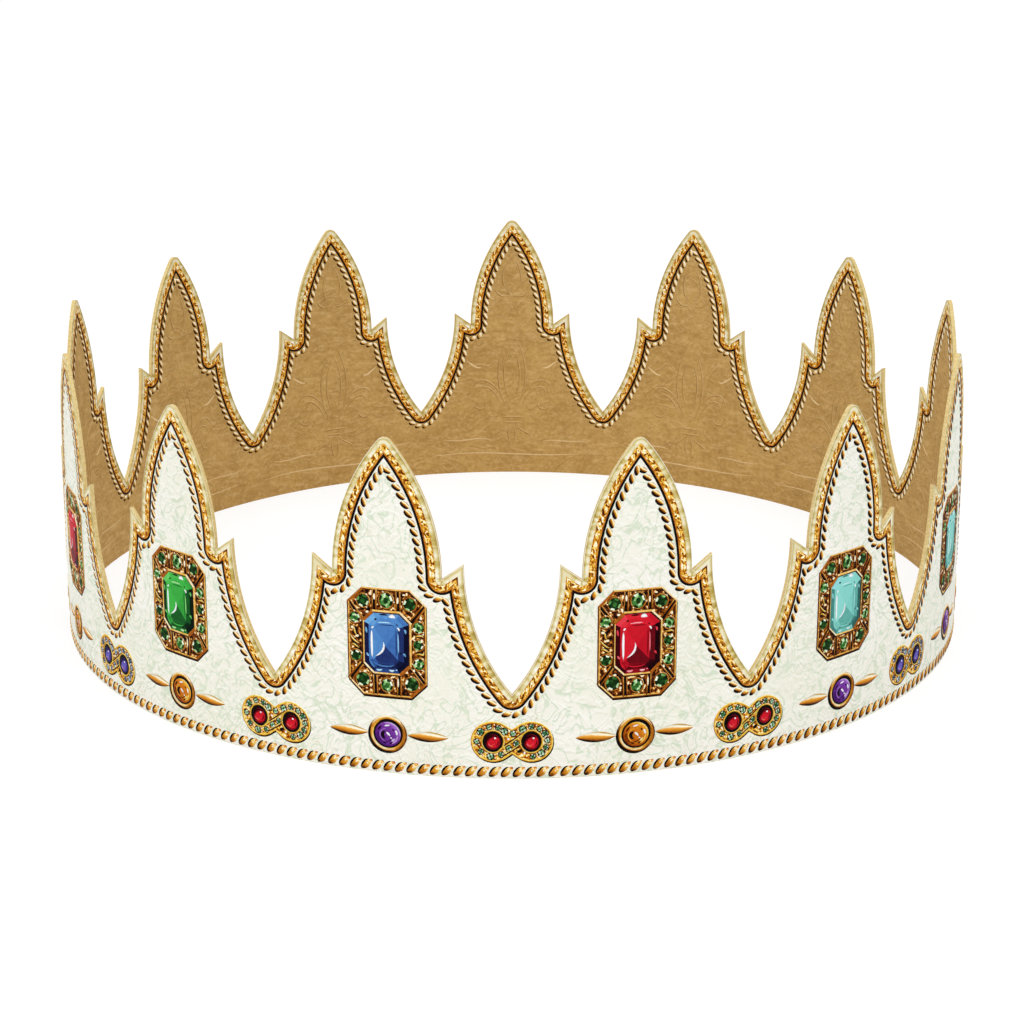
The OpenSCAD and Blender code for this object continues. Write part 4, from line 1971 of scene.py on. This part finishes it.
@dataclass
class Brooch(Ornament):
    """Figure-eight brooch under each gap, with two round stones. Sizes are in millimetres.

    The small stones of each lobe are angles in degrees round the lobe's middle, and those of the strap are
    places from the brooch's middle. Grains stand a few degrees on from each stone. A line of the strap is
    how far aside it runs for the strap's half width, its width, its finish and its tone. Violet are the
    numbers of the brooches with violet stones.
    """

    name: str = "brooch"
    at_gap: bool = True
    middle: float = 7.4
    lobe: float = 4.05
    reach: float = 3.52
    waist: float = 2.45
    rim: float = 0.36
    ring: float = 1.84
    stone: float = 1.44
    tall: float = 1.1
    channel: float = 2.96
    drop: Spot = (0.16, -0.24)
    lobe_steps: int = 24
    sides: int = 24
    collar: float = 0.2
    stone_shift: Spot = (0.05, -0.04)
    dome: float = 0.8
    dome_shift: float = 0.1
    seat: float = 0.16
    seat_sides: int = 10
    stone_sizes: tuple[float, ...] = (0.6, 0.46, 0.46)
    stone_tall: float = 1.08
    grain_turn: float = 15.0
    grain_out: float = 0.34
    grain_size: Spot = (0.2, 0.16)
    left_stones: tuple[float, ...] = (44, 70, 103, 139, 180, 222, 262, 301)
    right_stones: tuple[float, ...] = (122, 90, 59, 31, 4, -23, -51, -84)
    strap: Curve = ((-2.6, -2.3), (-1.2, -1.7), (0.5, -0.5), (2.3, 1.0))
    strap_width: float = 1.7
    strap_lines: tuple[tuple[float, float, Ink, float], ...] = (
        (1.0, 0.26, Ink.FRAME, -0.5),
        (0.72, 0.22, Ink.BROOCH, 0.3),
        (-0.72, 0.22, Ink.BROOCH, 0.3),
        (-1.0, 0.26, Ink.FRAME, -0.6),
    )
    strap_dots: tuple[Dot, ...] = (
        Dot((1.45, -1.85), (0.6, 0.36), 0.15, 0.2, Ink.SHADOW, 0.5),
        Dot((2.3, -2.2), (0.2, 0.3), 0.2, 0.3, Ink.GLINT),
        Dot((-0.65, 0.55), (0.26, 0.2), 0.3, 0.3, Ink.GLINT),
    )
    strap_stones: Curve = ((-0.6, -1.3), (0.8, -0.35), (0.2, 1.65))
    strap_stone: float = 0.5
    strap_tall: float = 1.15
    violet: tuple[int, ...] = (2, 4, 7, 9, 11)
    # Painted shade and light on each round stone
    marks: tuple[ArcMark, ...] = (
        ArcMark(1.2, 40, 205, 0.42, 0.84, Ink.RED, -0.95),
        ArcMark(0.86, 75, 185, 0.3, 0.88, Ink.RED, -0.6),
        ArcMark(0.86, 200, 262, 0.3, 0.86, Ink.RED, 0.42),
        ArcMark(1.0, -55, 25, 0.2, 0.84, Ink.RED, -0.8),
        ArcMark(0.5, 30, 110, 0.14, 0.96, Ink.RED, -0.5),
        ArcMark(0.5, 250, 330, 0.16, 0.96, Ink.RED, 0.34),
    )
    dots: tuple[Dot, ...] = (
        Dot((0.42, 0.74), (0.2, 0.2), 0.8, 0.3, Ink.GLINT),
        Dot((-0.2, -0.86), (0.32, 0.16), 0.76, 0.26, Ink.SPOT, 0.3),
    )

    def swaps(self, index: int) -> dict[Ink, Ink]:
        """The colours of one brooch's stones."""
        return {Ink.RED: Ink.VIOLET, Ink.PALE_GREEN: Ink.SMALL_GREY} if index in self.violet else {}

    def outline(self) -> Path:
        """The figure eight, counter-clockwise, with straight sides that meet at the waist.

        Returns:
            Its points.
        """
        away = math.hypot(self.reach, self.waist)
        spread = math.acos(self.lobe / away)
        first = math.atan2(self.waist, -self.reach) - spread
        turns = [-first + 2 * first * i / self.lobe_steps for i in range(self.lobe_steps + 1)]
        right = [Vector((self.reach + self.lobe * math.cos(t), self.lobe * math.sin(t), 0)) for t in turns]
        left = [-p for p in right]
        lift = Vector((0, self.middle, 0))
        return [p + lift for p in [*right, Vector((0, self.waist, 0)), *left, Vector((0, -self.waist, 0))]]

    def lay_out(self, relief: Relief) -> None:
        """Lays out the brooch.

        Args:
            relief: Where it is laid out.
        """
        outline, inks = self.outline(), (Ink.BROOCH, Ink.BROOCH_GROUND)
        below = [p + Vector((*self.drop, 0)) for p in outline]
        relief.plate(below, SUNK, thick=0.34, ink=Ink.SHADOW)
        relief.tray(outline, SUNK, thick=0.45, width=self.rim, rise=0.36, inks=inks, smooth=True)
        self.cross(relief)
        for side, turns in ((-1, self.left_stones), (1, self.right_stones)):
            self.lobe_stones(relief, side, turns)
            self.cabochon(relief, side * self.reach)

    def cross(self, relief: Relief) -> None:
        """The strap that crosses from one lobe to the other, its lines and its stones.

        Args:
            relief: Where they are laid out.
        """
        y = self.middle
        band = bent([(x, y + up) for x, up in self.strap])
        along = (band[-1] - band[0]).normalized()
        aside = Vector((-along.y, along.x, 0)) * (self.strap_width / 2)
        relief.stroke(band, self.strap_width, rise=0.1, ink=Ink.BROOCH_GROUND, base=0.2, tone=0.0)
        for shift, width, ink, tone in self.strap_lines:
            relief.stroke([p + aside * shift for p in band], width, 0.16, ink, base=0.26, tone=tone)
        relief.dot(self.strap_dots, (0.0, y))
        for i, (x, up) in enumerate(self.strap_stones):
            self.small_stone(relief, (x, y + up), self.strap_stone, self.strap_tall, i + 1)

    def cabochon(self, relief: Relief, x: float) -> None:
        """One round stone in its black ring, with its lights.

        Args:
            relief: Where it is laid out.
            x: How far to the right its middle lies.
        """
        centre, y = (x, self.middle), self.middle
        ring = circle(centre, self.ring + self.collar, self.sides, self.tall)
        relief.stroke(ring + ring[:1], width=0.4, rise=0.3, ink=Ink.BROOCH, base=0.24)
        hole = circle(centre, self.ring, self.sides, self.tall)
        relief.plate(hole, base=0.1, thick=0.4, ink=Ink.SHADOW)
        low, size = (x + self.stone_shift[0], y + self.stone_shift[1]), (self.stone, self.stone * self.tall)
        # A darker dome under a lighter one: the stone's rim painted in shade
        relief.dome(low, size, Ink.RED, rise=0.36, base=0.42, fine=(18, 4), tone=-0.5)
        high, size = (x + self.dome_shift, y), (self.stone * self.dome, self.stone * self.dome * self.tall)
        relief.dome(high, size, Ink.RED, rise=0.3, base=0.6, fine=(16, 4), tone=0.06)
        relief.paint(self.marks, centre)
        relief.dot(self.dots, centre)

    def lobe_stones(self, relief: Relief, side: int, turns: Sequence[float]) -> None:
        """Small stones in the channel round one lobe, with gold grains between them.

        Args:
            relief: Where they are laid out.
            side: 1 for the right lobe and -1 for the left one.
            turns: Angles of the stones, in degrees.
        """
        for i, degrees in enumerate(turns):
            turn = math.radians(degrees)
            ray = Vector((math.cos(turn), math.sin(turn)))
            middle = Vector((side * self.reach, self.middle))
            radius = self.stone_sizes[i % len(self.stone_sizes)]
            self.small_stone(relief, middle + ray * self.channel, radius, self.stone_tall, i + side)
            near = turn + math.radians(self.grain_turn)
            for out in (-self.grain_out, self.grain_out):
                grain = middle + Vector((math.cos(near), math.sin(near))) * (self.channel + out)
                relief.dome(grain, self.grain_size, Ink.PEARL, near, base=0.15, rise=0.36, fine=SMALL)

    def small_stone(
        self, relief: Relief, centre: Vector | Spot, radius: float, tall: float, turn: int
    ) -> None:
        """One small stone in a dark seat, whose top is painted in shade.

        Args:
            relief: Where it is laid out.
            centre: Its place.
            radius: Half its width.
            tall: Its height for its width.
            turn: Which of its facets are the bright ones.
        """
        outline = circle(centre, radius + self.seat, self.seat_sides, tall)
        seat = relief.plate(outline, base=0.1, thick=0.22, ink=Ink.FRAME)
        # The seat's top is painted in shade
        relief.ink([seat], Ink.FRAME, tone=-0.7)
        relief.stone(centre, radius, Ink.PALE_GREEN, base=0.28, tall=tall, turn=turn)


@dataclass
class FleurLines(Ornament):
    """Faint raised fleur-de-lis lines on the brown inside of each point, painted lit on one side and shaded
    on the other. Sizes are in millimetres.

    Petals are measured from the bar, and those of the bud from its foot. They show on both sides, as the
    tick does. Folds run across under them. The tick and the folds are painted evenly lighter by their tones.
    """

    name: str = "fleur_lines"
    side: Side = Side.INSIDE
    bar: float = 13.8
    bud: float = 46.5
    width: float = 0.55
    rise: float = 0.3
    petals: tuple[Curve, ...] = (
        ((0.0, 1.2), (4.8, 8.0), (4.4, 15.5), (0.0, 23.6)),
        ((0.0, 4.2), (2.9, 9.5), (2.4, 14.5), (0.0, 19.8)),
        ((0.9, 0.9), (2.6, 11.6), (10.8, 13.4), (10.2, 5.6)),
        ((10.2, 5.6), (9.6, 1.8), (5.8, 2.2), (6.6, 5.4)),
        ((2.0, 1.4), (3.6, 9.4), (8.8, 10.6), (8.8, 5.8)),
        ((0.9, -0.9), (1.6, -3.4), (5.2, -2.8), (5.0, -5.6)),
        ((0.0, -0.9), (1.4, -3.0), (1.0, -5.0), (0.0, -7.0)),
    )
    bud_petals: tuple[Curve, ...] = (
        ((0.0, 0.0), (3.6, 2.0), (2.4, 6.5), (0.0, 10.0)),
        ((0.0, 0.0), (2.0, -1.9), (4.6, -0.1), (4.2, 2.5)),
    )
    tick: Curve = ((7.6, 27.6), (9.0, 27.0), (9.8, 28.2), (11.6, 29.4))
    tick_tone: float = 0.9
    bar_lift: float = 0.7
    bar_places: tuple[float, ...] = (-3.6, -1.2, 1.2, 3.6)
    folds: tuple[tuple[Curve, float], ...] = (
        (((-22.0, 4.4), (-8.0, 6.6), (4.0, 3.0), (20.0, 5.6)), 0.6),
        (((-18.0, 9.0), (-12.0, 7.6), (-9.0, 9.8), (-5.0, 8.4)), 0.6),
        (((7.0, 8.0), (11.0, 9.4), (15.0, 7.2), (21.0, 9.2)), 0.5),
    )

    def lay_out(self, relief: Relief) -> None:
        """Lays out the lines of one flower, of the bud over it and of the folds under it.

        Args:
            relief: Where they are laid out.
        """
        for foot, petals in ((self.bar, self.petals), (self.bud, self.bud_petals)):
            for petal in petals:
                for side in (1, -1):
                    self.line(relief, [(side * x, foot + up) for x, up in petal])
        for side in (1, -1):
            self.line(relief, [(side * x, up) for x, up in self.tick], self.tick_tone)
        for lift in (-self.bar_lift, self.bar_lift):
            self.line(relief, [(x, self.bar + lift) for x in self.bar_places])
        for fold, tone in self.folds:
            self.line(relief, fold, tone)

    def line(self, relief: Relief, points: Sequence[Spot], tone: float | None = None) -> None:
        """One raised line, painted lit and shaded by its shape, or evenly in its own tone if it has one."""
        relief.stroke(bent(points, 14), self.width, self.rise, Ink.SCROLL, base=-0.05, taper=0.6, tone=tone)


@dataclass
class Studio:
    """Pale floor, soft lamps and the camera. Lengths are in metres.

    A lamp is its name, its place, its width and its power in watts. All look at the same spot.
    """

    floor_size: float = 12.0
    floor_cover: float = 0.72
    floor_white: float = 1.1
    world_light: float = 0.6
    camera_at: tuple[float, float, float] = (0.0, -0.5328, 0.1955)
    camera_tilt: float = 71.804
    lens: float = 90.82
    sensor: float = 36.0
    lamps: tuple[tuple[str, tuple[float, float, float], float, float], ...] = (
        ("key_lamp", (0.7, -1.1, 1.3), 1.2, 9.0),
        ("fill_lamp", (-1.2, -0.9, 0.9), 1.4, 7.0),
        ("top_lamp", (0.0, 0.3, 1.6), 1.4, 7.0),
    )
    lamp_aim: tuple[float, float, float] = (0.0, 0.0, 0.03)

    def build(self) -> None:
        """Builds the stage."""
        self.floor()
        for name, place, size, power in self.lamps:
            self.lamp(name, place, size, power)
        self.world()
        data = bpy.data.cameras.new("photo_camera")
        data.lens, data.sensor_width = self.lens, self.sensor
        camera = bpy.data.objects.new("photo_camera", data)
        camera.location = self.camera_at
        camera.rotation_euler = (math.radians(self.camera_tilt), 0.0, 0.0)
        bpy.context.scene.collection.objects.link(camera)
        bpy.context.scene.camera = camera
        bpy.context.scene.view_settings.view_transform = "Standard"

    def floor(self) -> None:
        """A pale floor that keeps the crown's shadow and is white to the camera."""
        mesh = bmesh.new()
        bmesh.ops.create_grid(mesh, x_segments=2, y_segments=2, size=self.floor_size / 2)
        data = bpy.data.meshes.new("floor")
        mesh.to_mesh(data)
        mesh.free()
        floor = bpy.data.objects.new("floor", data)
        bpy.context.scene.collection.objects.link(floor)
        shader = Shader("pale_floor")
        shader.dress(Base_Color=(0.9, 0.9, 0.9, 1.0), Roughness=0.9)
        white = {"Color": (1.0, 1.0, 1.0, 1.0), "Strength": self.floor_white}
        glow = shader.add("ShaderNodeEmission", {}, white)
        plain = Value(shader, shader.surface.outputs[0])
        cover = self.seen(shader) * self.floor_cover
        both = shader.add("ShaderNodeMixShader", {}, {0: cover, 1: plain, 2: glow})
        shader.feed(shader.tree.nodes["Material Output"].inputs["Surface"], both)
        data.materials.append(shader.material)

    @staticmethod
    def seen(nodes: Nodes) -> Value:
        """Tells rays that show the stage to the eye: straight, in a gloss or through glass.

        Args:
            nodes: Where the nodes are added.

        Returns:
            1 for such rays, else 0.
        """
        straight = nodes.add("ShaderNodeLightPath", {}, {}, "Is Camera Ray")
        gloss = nodes.add("ShaderNodeLightPath", {}, {}, "Is Glossy Ray")
        through = nodes.add("ShaderNodeLightPath", {}, {}, "Is Transmission Ray")
        return straight.largest(gloss).largest(through)

    def lamp(self, name: str, place: tuple[float, float, float], size: float, power: float) -> None:
        """Adds a soft lamp that looks at the crown.

        Args:
            name: The lamp's name.
            place: Where it stands.
            size: Its width.
            power: Its power in watts.
        """
        data = bpy.data.lights.new(name, "AREA")
        data.size, data.energy = size, power
        lamp = bpy.data.objects.new(name, data)
        lamp.location = place
        lamp.rotation_mode = "QUATERNION"
        lamp.rotation_quaternion = (Vector(self.lamp_aim) - Vector(place)).to_track_quat("-Z", "Y")
        bpy.context.scene.collection.objects.link(lamp)

    def world(self) -> None:
        """White all round, dimmer as light than as seen."""
        world = bpy.data.worlds.new("studio")
        world.use_nodes = True
        nodes = Nodes(world.node_tree)
        background = world.node_tree.nodes["Background"]
        background.inputs["Color"].default_value = (1.0, 1.0, 1.0, 1.0)
        strength = self.seen(nodes) * (1 - self.world_light) + self.world_light
        nodes.feed(background.inputs["Strength"], strength)
        bpy.context.scene.world = world


def main() -> None:
    """Builds the crown and its stage."""
    logging.basicConfig(level=logging.INFO, format="%(message)s")
    for part in (
        CrownCard(),
        Border(),
        Border("inside_border", Side.INSIDE),
        BeadRow(),
        BeadRow(
            "inside_pearls", Side.INSIDE, ink=Ink.PEARL, inset=3.6, length=1.75, shade=(-0.12, -0.108)
        ),
        RopeEdge(),
        JewelFrame(),
        Gem(),
        Cabochon(),
        Brooch(),
        FleurLines(),
        Studio(),
    ):
        part.build()


if __name__ == "__main__":
    main()
